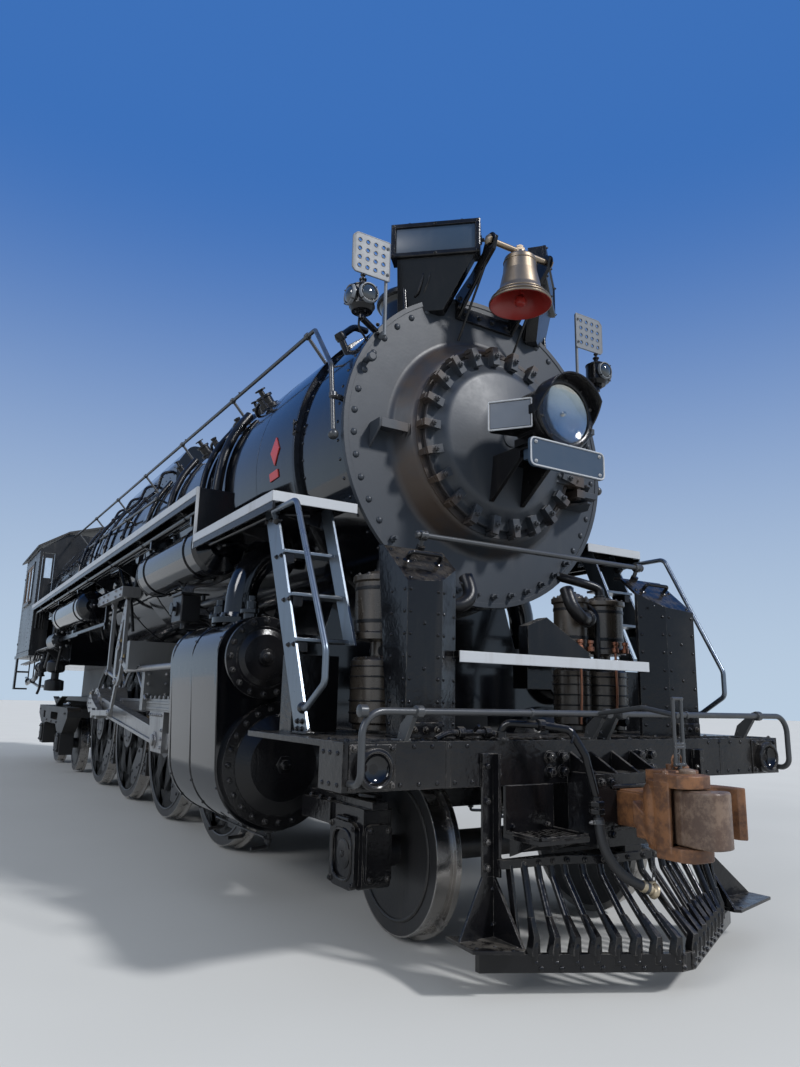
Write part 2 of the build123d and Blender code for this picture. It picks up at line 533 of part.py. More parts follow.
# Ladders up to the boards: two wide sloping stringers, treads between them and a bent handrail outside
STRINGERS = ((1500, ((1259, 2527), (1445, 2527), (790, 1122), (620, 1122))),
             (1160, ((1173, 2527), (1309, 2527), (900, 1620), (770, 1620))))
with BuildPart() as front_ladders:
    for side in (RIGHT, LEFT):
        for x, outline in STRINGERS:
            side_plate((side * x, side * (x + 15)), outline)
        for d, h in ((830, 1630), (930, 1900), (1080, 2180)):
            block((side * 1160, side * 1515), (d, d + 150), (h, h + 18))
        bent_bar(((side * 1510, 1230, 2400), (side * 1572, 1150, 2440), (side * 1572, 800, 2440), (side * 1572, 330, 1560),
                  (side * 1572, 330, 1390), (side * 1572, 540, 1262), (side * 1510, 700, 1262)), 17,
                 (35, 70, 90, 50, 60))
save(front_ladders, "front_ladders")

# Front end: pilot beam with its deck, pilot, steps, shields and pumps
LAMP_PLACE = (1474, 1001)
HOSE_TOP = (-319, -275, 762)
PIPE = ((-700, 20, 1110), (-700, 20, 1212), (-560, -130, 1204), (-440, -215, 1185), (-372, -250, 1060),
        (-318, -264, 849), HOSE_TOP)
with BuildPart() as pilot_beam:
    block((-1629, 1629), (0, 240), (900, 1122))
    block((-1629, 1629), (240, 744), (1092, 1122))
    for side in (RIGHT, LEFT):
        block((side * 700, side * 1629), (744, 1200), (1092, 1122))
        block((side * 1190, side * 1480), (930, 1090), (1122, 1560))
        turned_y(side * LAMP_PLACE[0], LAMP_PLACE[1], ((0, -12), (72, -12), (72, -45), (95, -45), (95, 0), (0, 0)))
        block((side * 765, side * 845), (-15, 0), (480, 1060))
        block((side * 765, side * 780), (-60, -15), (480, 1060))
        block((side * 377, side * 700), (-270, -15), (650, 672))
        block((side * 377, side * 700), (-15, 5), (650, 900))
        for x in (90, 240):
            side_plate((side * (x - 15), side * x), ((-195, 960), (0, 960), (0, 1060)))
    block((-260, 260), (-205, 0), (600, 960))
    block((-200, 200), (0, 240), (600, 900))
    block((-110, 110), (-210, 60), (700, 880), Mode.SUBTRACT)
    bent_bar(PIPE, 20, (55, 55, 55, 55, 90))
save(pilot_beam, "pilot_beam")

# Pilot: a shaped top rail, bent bars and a deep bottom band meeting in a nose
PILOT_TOP = ((-790, -100), (-740, -100), (-407, -130), (-216, -218), (216, -218), (407, -130), (740, -100), (790, -100),
             (790, -60), (740, -60), (407, -62), (216, -62), (-216, -62), (-407, -62), (-740, -60), (-790, -60))
PILOT_CORNER, PILOT_NOSE = (920, -86), (45, -522)
BAND = (85, 165)
BAND_DEPTH = 32
BARS = 8


def band_front(x):
    """How far ahead the bottom band's front lies at this distance from the centre line."""
    slope = (PILOT_CORNER[1] - PILOT_NOSE[1]) / (PILOT_CORNER[0] - PILOT_NOSE[0])
    return PILOT_NOSE[1] + max(0, x - PILOT_NOSE[0]) * slope


with BuildPart() as pilot:
    top_plate((526, 566), PILOT_TOP)
    block((-60, 60), (-205, -150), (560, 600))
    for side in (RIGHT, LEFT):
        top_plate(BAND, (
            (0, PILOT_NOSE[1]), (side * PILOT_NOSE[0], PILOT_NOSE[1]), (side * PILOT_CORNER[0], PILOT_CORNER[1]),
            (side * PILOT_CORNER[0], PILOT_CORNER[1] + BAND_DEPTH), (side * PILOT_NOSE[0], PILOT_NOSE[1] + BAND_DEPTH),
            (0, PILOT_NOSE[1] + BAND_DEPTH)))
        side_plate((side * 728, side * 744), ((-100, 546), (-60, 546), (-140, 120), (-172, 120)))
        for n in range(BARS):
            x = 690 * (1 - (n + 0.35) / BARS)
            top = -118 if x > 407 else -118 - (407 - x) * 0.45 if x > 216 else -204
            foot = x * 1.03
            bent_bar(((side * x, top + 20, 550), (side * x, top, 470), (side * foot, band_front(foot) + 4, 195),
                      (side * foot, band_front(foot) + 15, 120)), 18, (50, 40))
save(pilot, "pilot")

# Corner steps: a plate a side under the beam's angle, held by two gussets that meet at its foot
with BuildPart() as corner_steps:
    for side, out in ((RIGHT, 1000), (LEFT, 1230)):
        top_plate((190, 206), [(side * x, d) for x, d in (
            (760, 0), (out - 20, 104), (out, -143), (792, -255), (760, -230))])
        block((side * 765, side * 845), (-15, 0), (200, 480))
        side_plate((side * 765, side * 780), ((-230, 206), (0, 206), (0, 480), (-15, 480)))
        front_plate((-15, 0), ((side * 765, 206), (side * (out - 20), 206), (side * 845, 480), (side * 765, 480)))
save(corner_steps, "corner_steps")

# Shields ahead of the air pumps: folded fronts, outer sides and tops that slope back, with a board between them
SHIELD_FOLD = ((1153, 232), (910, 260), (750, 360))
SHIELD_TOP = ((232, 1940), (500, 2175), (560, 2185))
with BuildPart() as pump_shields:
    for side in (RIGHT, LEFT):
        fold = [(side * x, d) for x, d in SHIELD_FOLD]
        back = [(x - side * 4, d + 18) for x, d in reversed(fold)]
        top_plate((1122, 2300), fold + back)
        side_plate((side * 1135, side * 1153), ((232, 1122), (420, 1122), (560, 2185), (500, 2175), (232, 1940)))
        side_plate((side * 750, side * 1153), (*SHIELD_TOP, (560, 2167), (505, 2157), (232, 1918)))
        side_plate((side * 700, side * 1200), (
            (100, 1940), (232, 1940), (500, 2175), (560, 2185), (560, 2400), (100, 2400)), Mode.SUBTRACT)
        top_plate((1100, 2400), [*fold, (fold[2][0], 100), (fold[0][0], 100)], Mode.SUBTRACT)
        bent_bar(((side * 850, 405, 2080), (side * 850, 355, 2125), (side * 1060, 355, 2125), (side * 1060, 405, 2080)),
                 12, 20)
    block((-770, 770), (300, 570), (1560, 1590))
    front_plate((570, 660), ((-31, 1560), (-31, 1800), (130, 1862), (503, 1650), (503, 1560)))
    block((-100, 100), (500, 640), (1400, 1560))
save(pump_shields, "pump_shields")

# Air pumps: a wide and a narrow pump a side, each a steam cylinder above an air cylinder
PUMPS = ((940, 880, 160, 175), (620, 860, 120, 130))
with BuildPart() as air_pumps:
    for side in (RIGHT, LEFT):
        for x, d, steam, air in PUMPS:
            turned_z(side * x, d, (
                (0, 1140), (air - 20, 1140), (air - 20, 1170), (air, 1180), (air, 1540), (air - 20, 1560), (60, 1570),
                (60, 1655), (steam + 15, 1665), (steam + 15, 1700), (steam, 1710), (steam, 2010), (steam + 15, 2020),
                (steam + 15, 2050), (steam - 30, 2062), (70, 2085), (0, 2085)))
        block((side * 560, side * 980), (800, 900), (1122, 1200))
        block((side * 620, side * 940), (830, 890), (1300, 1400))
save(air_pumps, "air_pumps")

# Rails: the long uncoupling bar across the beam with its brackets and lift chain, and the upper cross rail
RAIL_D, RAIL_H = -105, 1264
with BuildPart() as front_rails:
    for side in (RIGHT, LEFT):
        bent_bar(((side * 1590, 0, 940), (side * 1590, RAIL_D, 940), (side * 1590, RAIL_D, RAIL_H),
                  (side * 30, RAIL_D, RAIL_H)), 17, (60, 110))
        for x in (55, 1290):
            side_plate((side * (x - 12), side * (x + 12)), (
                (0, 1122), (70, 1122), (40, 1200), (RAIL_D + 30, RAIL_H + 22), (RAIL_D - 22, RAIL_H + 22),
                (RAIL_D - 22, RAIL_H - 22), (RAIL_D + 25, RAIL_H - 22)))
    bent_bar(((-130, RAIL_D, RAIL_H), (-130, -420, RAIL_H + 40), (-130, -640, RAIL_H + 5)), 13, 100)
    for h, low in ((1350, 1120), (1135, 1040)):
        for x in (-165, -107):
            disc_z(x, -640, (low, h), 9)
        for end in (low, h):
            disc_x((-174, -98), -640, end, 9)
    disc_z(-136, -640, (1012, 1046), 9)
    disc_x((-939, 939), 480, 2259, 17)
    for side in (RIGHT, LEFT):
        bar((side * 900, 480, 2259), (side * 900, 520, 2183), 14)
save(front_rails, "front_rails")

# Coupler, its head open on the right, where the knuckle turns on its pin
KNUCKLE_PIN = (-150, -690)
PIN_BORE = 25
COUPLER_HEAD = ((-105, -430), (-225, -500), (-262, -590), (-262, -670), (-60, -670), (-20, -590), (60, -585),
                (130, -560), (105, -430))
GUARD_ARM = ((40, -575), (70, -580), (140, -640), (160, -730), (185, -755), (212, -735), (215, -640), (180, -530),
             (105, -430), (40, -430))
LUG = ((-262, -580), (-40, -580), (-60, -730), (-100, -775), (-190, -780), (-262, -720))
with BuildPart() as coupler:
    block((-105, 105), (-600, 20), (705, 875))
    top_plate((650, 965), COUPLER_HEAD)
    top_plate((690, 930), GUARD_ARM)
    for h in ((940, 1000), (620, 680)):
        top_plate(h, LUG)
    top_plate((685, 935), ((-300, -670), (-242, -670), (-242, -612), (-58, -612), (-30, -640), (-30, -900),
                           (-300, -900)), Mode.SUBTRACT)
    top_plate((965, 1008), ((-190, -470), (40, -470), (60, -600), (-190, -600)))
    disc_z(KNUCKLE_PIN[0], KNUCKLE_PIN[1], (600, 1020), PIN_BORE + RUNNING_FIT, Mode.SUBTRACT)
save(coupler, "coupler")

KNUCKLE = ((-215, -680), (-224, -745), (-218, -830), (-180, -877), (-100, -877), (-40, -835), (-42, -805),
           (-88, -780), (-92, -680))
with BuildPart() as knuckle:
    top_plate((685, 935), KNUCKLE, corner=(0, 40, 30, 20, 20, 12, 12, 25, 0))
    disc_z(KNUCKLE_PIN[0], KNUCKLE_PIN[1], (685, 935), 68)
    disc_z(KNUCKLE_PIN[0], KNUCKLE_PIN[1], (612, 1012), PIN_BORE)
    disc_z(KNUCKLE_PIN[0], KNUCKLE_PIN[1], (1001, 1022), 38)
save(knuckle, "knuckle")

# Front air hose with its coupling
HOSE = (HOSE_TOP, (-320, -286, 675), (-296, -300, 592), (-248, -316, 521), (-182, -333, 467), (-102, -349, 435))
HOSE_R = 25


def route_radii(places):
    """For each corner, 0.45 of its shorter run over the tangent of half the turn."""
    radii = []
    for a, b, c in zip(places, places[1:], places[2:]):
        before, after = Vector(*b) - Vector(*a), Vector(*c) - Vector(*b)
        turn = math.radians(before.get_angle(after))
        radii.append(0.45 * min(before.length, after.length) / math.tan(turn / 2))
    return radii


with BuildPart() as air_hose:
    bent_bar(HOSE, HOSE_R, route_radii(HOSE))
hose_length = air_hose.part.volume / (math.pi * HOSE_R ** 2)
print("air hose: bends of", [round(radius) for radius in route_radii(HOSE)], "mm, length", round(hose_length), "mm")
save(air_hose, "air_hose")

HOSE_END, COUPLING = HOSE[-1], ((-102, -349, 435), (-54, -358.6, 415.8), (-27, -364, 405))
with BuildPart() as hose_coupling:
    bar(COUPLING[0], COUPLING[1], 29)
    bar(COUPLING[1], COUPLING[2], 40)
save(hose_coupling, "hose_coupling")

# Number boards on tapering supports, marker lamps, pierced plates on poles, and the bell on its stand
BOARD_TILT = 41.5
BOARD_PLACE = (502, 976, 4568)
with BuildPart() as number_boards:
    for side in (RIGHT, LEFT):
        place = Location((side * BOARD_PLACE[0], aft(BOARD_PLACE[1]), up(BOARD_PLACE[2])), (0, 0, side * BOARD_TILT))
        with Locations(place):
            Box(643, 120, 265)
            with Locations((0, -52, 118), (0, -52, -118)):
                Box(643, 40, 30)
        with BuildSketch(Plane(place).offset(-132)) as wide:
            Rectangle(560, 90)
        foot = Location((side * 540, aft(1135), up(4010)), (0, 0, side * BOARD_TILT))
        with BuildSketch(Plane(foot)) as narrow:
            Rectangle(300, 90)
        loft([wide.sketch, narrow.sketch])
    disc_y(0, (SMOKEBOX_FRONT, 1400), BOILER_Z, SMOKEBOX_R, Mode.SUBTRACT)
    front_plate((900, SMOKEBOX_FRONT), ((-900, 3900), (900, 3900), (900, 4060), (-900, 4060)), Mode.SUBTRACT)
save(number_boards, "number_boards")

LAMP = (1092, 983, 3951)
with BuildPart() as marker_lamps:
    for side in (RIGHT, LEFT):
        x, d, h = side * LAMP[0], LAMP[1], LAMP[2]
        turned_z(x, d, ((0, h - 100), (70, h - 100), (84, h - 70), (84, h + 60), (50, h + 96), (18, h + 104),
                        (18, h + 130), (0, h + 130)))
        turned_y(x, h, ((0, d), (66, d), (66, d - 96), (56, d - 104), (56, d - 92), (0, d - 92)))
        turned_x(x, d, h, ((0, 0), (66, 0), (66, 96), (56, 104), (56, 92), (0, 92)))
        disc_z(x, d, (h - 150, h - 100), 24)
        bar((x, d, h - 140), (side * 930, 1080, 3800), 22)
    disc_y(0, (SMOKEBOX_FRONT - 5, 1400), BOILER_Z, SMOKEBOX_R, Mode.SUBTRACT)
save(marker_lamps, "marker_lamps")

FLAG = ((882, 4142), (882, 4432), (890, 4440), (1140, 4440), (1175, 4405), (1175, 4165), (1153, 4142))
with BuildPart() as flag_plates:
    for side in (RIGHT, LEFT):
        front_plate((985, 993), [(side * x, h) for x, h in FLAG])
        for row in range(4):
            for column in range(4):
                disc_y(side * (1028 + (column - 1.5) * 62), (980, 998), 4291 + (row - 1.5) * 64, 14, Mode.SUBTRACT)
        disc_z(side * 900, 1005, (3745, 4436), 12)
        block((side * 885, side * 915), (1005, SMOKEBOX_FRONT), (3745, 3775))
save(flag_plates, "flag_plates")

BELL_PIVOT = (643, 4500)
with BuildPart() as bell:
    turned_z(0, BELL_PIVOT[0], (
        (0, 4470), (70, 4470), (112, 4445), (122, 4330), (150, 4200), (190, 4130), (225, 4092), (222, 4078), (180, 4115),
        (135, 4195), (104, 4320), (92, 4420), (0, 4435)), (0, 0, 20, 0, 40, 30, 4, 4, 30, 40, 0, 15, 0))
    disc_z(0, BELL_PIVOT[0], (4465, BELL_PIVOT[1]), 45)
    disc_x((-270, 270), *BELL_PIVOT, 22)
save(bell, "bell")

YOKE = ((590, 4520), (620, 4550), (675, 4550), (712, 4510), (740, 4450), (880, 4350), (SMOKEBOX_FRONT, 4260),
        (SMOKEBOX_FRONT, 4080), (960, 4190), (760, 4330), (620, 4430))
with BuildPart() as bell_yoke:
    for side in (RIGHT, LEFT):
        side_plate((side * 238, side * 266), YOKE)
    disc_x((-280, 280), *BELL_PIVOT, 22 + RUNNING_FIT, Mode.SUBTRACT)
    block((-266, 266), (SMOKEBOX_FRONT - 27, SMOKEBOX_FRONT), (4080, 4180))
save(bell_yoke, "bell_yoke")

# Air tanks hung below the running boards in straps, the right front one ahead
TANKS = ((1370, 2775, 4655, 2490, 220), (1400, 8000, 10300, 2480, 205))
with BuildPart() as air_tanks:
    for side in (RIGHT, LEFT):
        for x, front, back, h, r in TANKS:
            turned_y(side * x, h, (
                (0, front - 55), (90, front - 50), (r - 20, front - 20), (r, front + 20), (r, back - 20),
                (r - 20, back + 20), (90, back + 50), (0, back + 55)))
            for d in (front + 260, back - 300):
                turned_y(side * x, h, ((r - 5, d), (r + 10, d), (r + 10, d + 50), (r - 5, d + 50)))
save(air_tanks, "air_tanks")

# Valve gear: hangers and frame, the slotted link, its short links, the valve rods and the eccentric rods
GEAR_FRONT, GEAR_BACK = 5950, 7300
GEAR_X = (1336, 1376)
LINK = ((5960, 2370), (6010, 2395), (6060, 2370), (6330, 1830), (6350, 1520), (6290, 1415), (6120, 1400), (6020, 1470),
        (5950, 1700))
LINK_SLOT = ((6020, 2150), (6060, 2150), (6230, 1800), (6245, 1560), (6200, 1500), (6110, 1500), (6060, 1560), (6010, 1800))
with BuildPart() as valve_gear:
    for side in (RIGHT, LEFT):
        block((side * 1376, side * 1450), (GEAR_FRONT, GEAR_BACK), (2400, 2520))
        block((side * 1240, side * 1450), (GEAR_FRONT - 40, GEAR_FRONT + 20), (2400, 2520))
        for d in (GEAR_FRONT + 60, GEAR_BACK - 600):
            disc_x((side * 1330, side * 1400), d, 2420, 34)
        side_plate((side * GEAR_X[0], side * GEAR_X[1]), LINK, corner=(20, 45, 20, 60, 60, 60, 60, 60, 60))
        side_plate((side * 1330, side * 1380), LINK_SLOT, Mode.SUBTRACT, (15, 15, 40, 40, 30, 30, 40, 40))
        block((side * GEAR_X[0], side * GEAR_X[1]), (GEAR_BACK - 625, GEAR_BACK - 575), (1540, 2420))
        bar((side * 1356, GEAR_BACK - 600, 1560), (side * 1356, 6330, 1500), 22)
        side_plate((side * 1341, side * 1371), ((6180, 1420), (6250, 1420), (6440, 1060), (6370, 1060)))
        eccentric_d, eccentric_h = eccentric_place(45 if side == RIGHT else -45)
        side_plate((side * GEAR_X[0], side * GEAR_X[1]), (
            (6380, 1060), (eccentric_d, eccentric_h - 32), (eccentric_d, eccentric_h + 32), (6380, 1125)))
        for d, h, r in ((6400, 1092, 50), (eccentric_d, eccentric_h, 62)):
            disc_x((side * GEAR_X[0], side * GEAR_X[1]), d, h, r)
        disc_y(side * VALVE_X, (CYLINDER_REAR + 130, 5700), VALVE_Z, 30)
        side_plate((side * 1341, side * 1371), ((5560, 1540), (5700, 1540), (5980, 1640), (5980, 1720), (5700, 1600),
                                              (5560, 1600)))
save(valve_gear, "valve_gear")

with BuildPart() as power_reverse:
    turned_y(-1400, 2150, ((0, 10480), (60, 10480), (60, 10520), (140, 10530), (140, 11180), (0, 11190)))
    block((-1410, -1390), (8900, 10480), (2125, 2185))
    block((-1410, -1390), (7000, 8900), (2145, 2185))
    block((-1400, -1360), (7000, 7060), (2100, 2400))
save(power_reverse, "power_reverse")

# Lead truck: journal boxes with lids in pedestals, springs above them, and the frame back to the pivot
with BuildPart() as lead_truck_frame:
    for side in (RIGHT, LEFT):
        side_plate((side * 950, side * 1130), ((680, 300), (1060, 300), (1060, 720), (680, 720)), corner=(40, 40, 10, 10))
        side_plate((side * 1130, side * 1160), ((720, 290), (1020, 290), (1020, 640), (720, 640)), corner=60)
        side_plate((side * 1150, side * 1170), ((765, 340), (975, 340), (975, 590), (765, 590)), Mode.SUBTRACT, 45)
        front_plate((655, 690), [(side * x, h) for x, h in ((960, 330), (1120, 330), (1120, 640), (960, 640))], corner=35)
        block((side * 1000, side * 1100), (640, 1440), (720, 760))
        disc_x((side * 945, side * 1100), LEAD_AXLE, TRUCK_TREAD, TRUCK_JOURNAL + RUNNING_FIT, Mode.SUBTRACT)
    block((-1150, 1150), (1370, 1440), (600, 720))
    for side in (RIGHT, LEFT):
        block((side * 1080, side * 1150), (1050, 1440), (600, 720))
        side_plate((side * 90, side * 190), ((1440, 600), (LEAD_PIVOT - 100, 700), (LEAD_PIVOT - 100, 760), (1440, 720)))
    disc_z(0, LEAD_PIVOT, (700, 845), 200)
    disc_z(0, LEAD_PIVOT, (690, 860), PIVOT_R + RUNNING_FIT, Mode.SUBTRACT)
save(lead_truck_frame, "lead_truck_frame")

with BuildPart() as lead_wheels:
    tyre_and_axle(LEAD_AXLE, TRUCK_TREAD, TRUCK_JOURNAL, 1095)
save(lead_wheels, "lead_wheels")

# Trailing truck: a cast outside frame, open between its two axles of unlike size, with a lid on each journal box
TRUCK_OPENINGS = (((11980, 830), (12780, 830), (12780, 960), (11900, 960)),
                  ((13480, 830), (13720, 830), (13720, 960), (13480, 960)))
with BuildPart() as trailing_truck_frame:
    for side in (RIGHT, LEFT):
        side_plate((side * 900, side * 1120), (
            (10900, 900), (11300, 640), (11880, 640), (12100, 760), (13200, 760), (13400, 740), (13950, 740),
            (14350, 900), (14350, 1060), (11000, 1060), (10900, 1000)))
        for opening in TRUCK_OPENINGS:
            side_plate((side * 890, side * 1130), opening, Mode.SUBTRACT, 40)
        for axle, tread, _ in TRAILING_AXLES:
            block((side * 900, side * 1120), (axle - 200, axle + 200), (tread - 190, tread + 230))
            side_plate((side * 1120, side * 1150), (
                (axle - 140, tread - 150), (axle + 140, tread - 150), (axle + 140, tread + 150), (axle - 140, tread + 150)),
                corner=45)
            disc_x((side * 895, side * 1085), axle, tread, TRUCK_JOURNAL + RUNNING_FIT, Mode.SUBTRACT)
    block((-900, 900), (10900, 11040), (900, 1040))
    block((-900, 900), (14300, 14350), (900, 1060))
    block((-200, 200), (TRAILING_PIVOT - 130, 10950), (720, 935))
    disc_z(0, TRAILING_PIVOT, (715, 945), PIVOT_R + RUNNING_FIT, Mode.SUBTRACT)
save(trailing_truck_frame, "trailing_truck_frame")

for axle, tread, name in TRAILING_AXLES:
    with BuildPart() as trailing_wheels:
        tyre_and_axle(axle, tread, TRUCK_JOURNAL, 1080)
    save(trailing_wheels, name)

# Cab: floor, front, sides and roof as separate panels, open at the back
WALL = 40
with BuildPart() as cab_floor:
    block((-CAB_HALF, CAB_HALF), (CAB_FRONT, CAB_BACK), (CAB_FLOOR_Z - 60, CAB_FLOOR_Z))
    block((-1250, 1250), (CAB_FRONT - 5, BACKHEAD + 5), (CAB_FLOOR_Z - 65, CAB_FLOOR_Z + 5), Mode.SUBTRACT)
    for side in (RIGHT, LEFT):
        block((side * (CAB_HALF - WALL), side * CAB_HALF), (CAB_BACK - 500, CAB_BACK - 340), (1350, CAB_FLOOR_Z - 60))
        for h in (1350, 1700):
            block((side * (CAB_HALF - 260), side * CAB_HALF), (CAB_BACK - 560, CAB_BACK - 320), (h, h + 30))
save(cab_floor, "cab_floor")

for side, name, _ in SIDES:
    with BuildPart() as cab_side:
        block((side * (CAB_HALF - WALL), side * CAB_HALF), (CAB_FRONT, CAB_BACK - 300), (CAB_FLOOR_Z, CAB_EAVES_Z))
        block((side * CAB_HALF, side * (CAB_HALF + 18)), (13850, 15050), (3050, 3900))
        block((side * (CAB_HALF - WALL - 5), side * (CAB_HALF + 25)), (13900, 15000), (3100, 3850), Mode.SUBTRACT)
        block((side * (CAB_HALF - WALL + 5), side * (CAB_HALF - 5)), (14430, 14470), (3095, 3855))
        block((side * (CAB_HALF - 5), side * (CAB_HALF + 40)), (13950, 14950), (3040, 3095))
        bent_bar(((side * (CAB_HALF - 20), CAB_BACK - 310, 2300), (side * (CAB_HALF - 20), CAB_BACK - 230, 2300),
                  (side * (CAB_HALF - 20), CAB_BACK - 230, 3700), (side * (CAB_HALF - 20), CAB_BACK - 310, 3700)), 16, 40)
    save(cab_side, f"cab_side_{name}")

with BuildPart() as cab_front:
    front_plate((CAB_FRONT, CAB_FRONT + WALL), (
        (-CAB_HALF + WALL + 1, CAB_FLOOR_Z), (CAB_HALF - WALL - 1, CAB_FLOOR_Z), (CAB_HALF - WALL - 1, CAB_EAVES_Z),
        (1100, 4420), (-1100, 4420), (-CAB_HALF + WALL + 1, CAB_EAVES_Z)))
    disc_y(0, (CAB_FRONT - 5, CAB_FRONT + 45), BOILER_Z, FIREBOX_R + 1, Mode.SUBTRACT)
    block((-1291, 1291), (CAB_FRONT - 5, CAB_FRONT + 45), (CAB_FLOOR_Z - 5, BOILER_Z), Mode.SUBTRACT)
    for side in (RIGHT, LEFT):
        block((side * 1310, side * 1530), (CAB_FRONT - 5, CAB_FRONT + 45), (REAR_BOARD_Z + 60, 4000), Mode.SUBTRACT)
        disc_z(side * CAB_DOOR_HINGE, CAB_FRONT + 12, (REAR_BOARD_Z + 60, 4000), 5)
save(cab_front, "cab_front")

for side, name, _ in SIDES:
    with BuildPart() as cab_door:
        block((side * 1318, side * 1508), (CAB_FRONT + 5, CAB_FRONT + 35), (REAR_BOARD_Z + 66, 3994))
        block((side * 1350, side * 1475), (CAB_FRONT, CAB_FRONT + 40), (3500, 3900), Mode.SUBTRACT)
        disc_z(side * CAB_DOOR_HINGE, CAB_FRONT + 12, (REAR_BOARD_Z + 66, 3994), 11)
        disc_z(side * CAB_DOOR_HINGE, CAB_FRONT + 12, (REAR_BOARD_Z + 60, 4000), 5 + RUNNING_FIT, Mode.SUBTRACT)
    save(cab_door, f"cab_door_{name}")

with BuildPart() as cab_roof:
    front_plate((CAB_FRONT - 80, CAB_BACK + 150), (
        (-1640, CAB_EAVES_Z + 1), (-1100, 4421), (-500, 4600), (0, 4640), (500, 4600), (1100, 4421),
        (1640, CAB_EAVES_Z + 1), (1640, CAB_EAVES_Z + 40), (1100, 4460), (500, 4640), (0, 4680), (-500, 4640),
        (-1100, 4460), (-1640, CAB_EAVES_Z + 40)))
    block((-450, 450), (14100, 14900), (4630, 4715))
    for d in (CAB_FRONT + 200, 14950, CAB_BACK - 100):
        for side in (RIGHT, LEFT):
            front_plate((d, d + 50), [(side * x, h) for x, h in (
                (500, 4635), (1100, 4455), (1600, CAB_EAVES_Z + 60), (1600, CAB_EAVES_Z + 75), (1100, 4475), (500, 4660))])
save(cab_roof, "cab_roof")

# Handrails: one along the boiler's shoulder, bent down beside the smokebox, and one lower, both on stanchions
UPPER_RAIL = ((1200, 1119, 3008), (1200, 1193, 3526), (1000, 1929, 4148), (1000, 13100, 4350))
with BuildPart() as handrails:
    for side in (RIGHT, LEFT):
        bent_bar([(side * x, d, h) for x, d, h in UPPER_RAIL], 17, (80, 80))
        with Locations((side * 1200, aft(1119), up(3008))):
            Sphere(36)
        bar((side * 1100, 1159, 3290), (side * 1200, 1159, 3290), 20)
        bar((side * 1200, 5695, 3553), (side * 1200, 10330, 3645), 17)
        for d in range(2073, 12900, 1755):
            h = 4148 + (d - 1929) / (13100 - 1929) * 202
            bar((side * 700, d, h - 330), (side * 1000, d, h), 14)
        for d in (5740, 7300, 8800, 10280):
            h = 3553 + (d - 5695) / (10330 - 5695) * 92
            bar((side * 980, d, h - 60), (side * 1200, d, h), 14)
    disc_y(0, (SMOKEBOX_RING, SMOKEBOX_BACK), BOILER_Z, SMOKEBOX_R, Mode.SUBTRACT)
    turned_y(0, BOILER_Z, BOILER_OUTLINE, mode=Mode.SUBTRACT)
save(handrails, "handrails")
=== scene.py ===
import itertools
from math import atan2, cos, pi, radians, sin, sqrt, tau

import bmesh
import bpy
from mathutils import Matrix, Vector


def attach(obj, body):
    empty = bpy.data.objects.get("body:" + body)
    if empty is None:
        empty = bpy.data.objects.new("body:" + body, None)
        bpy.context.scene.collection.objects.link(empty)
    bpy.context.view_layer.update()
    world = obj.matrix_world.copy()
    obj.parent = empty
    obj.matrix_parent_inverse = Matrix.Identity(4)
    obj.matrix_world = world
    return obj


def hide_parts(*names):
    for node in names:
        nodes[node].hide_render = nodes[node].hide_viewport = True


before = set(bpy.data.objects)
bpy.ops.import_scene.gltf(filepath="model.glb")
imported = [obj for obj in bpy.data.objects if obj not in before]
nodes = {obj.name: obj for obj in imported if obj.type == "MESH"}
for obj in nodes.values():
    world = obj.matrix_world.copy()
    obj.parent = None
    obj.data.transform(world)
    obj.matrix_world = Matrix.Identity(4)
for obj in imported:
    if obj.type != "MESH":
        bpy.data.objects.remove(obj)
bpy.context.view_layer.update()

# Camera, as for the photograph: ahead of the right corner of the beam, at eye height, looking up. Its lens
# and place were worked out from the wheels' sizes and spacing and the beam's width.
camera = bpy.data.objects.new("camera", bpy.data.cameras.new("camera"))
bpy.context.scene.collection.objects.link(camera)
camera.data.lens = 25.98
camera.data.clip_end = 200
camera.location = (-3.3077, -10.7252, 1.3449)
camera.rotation_euler = [radians(turn) for turn in (102.1716, -1.2606, -31.6026)]
bpy.context.scene.camera = camera
bpy.context.scene.view_settings.view_transform = "Standard"


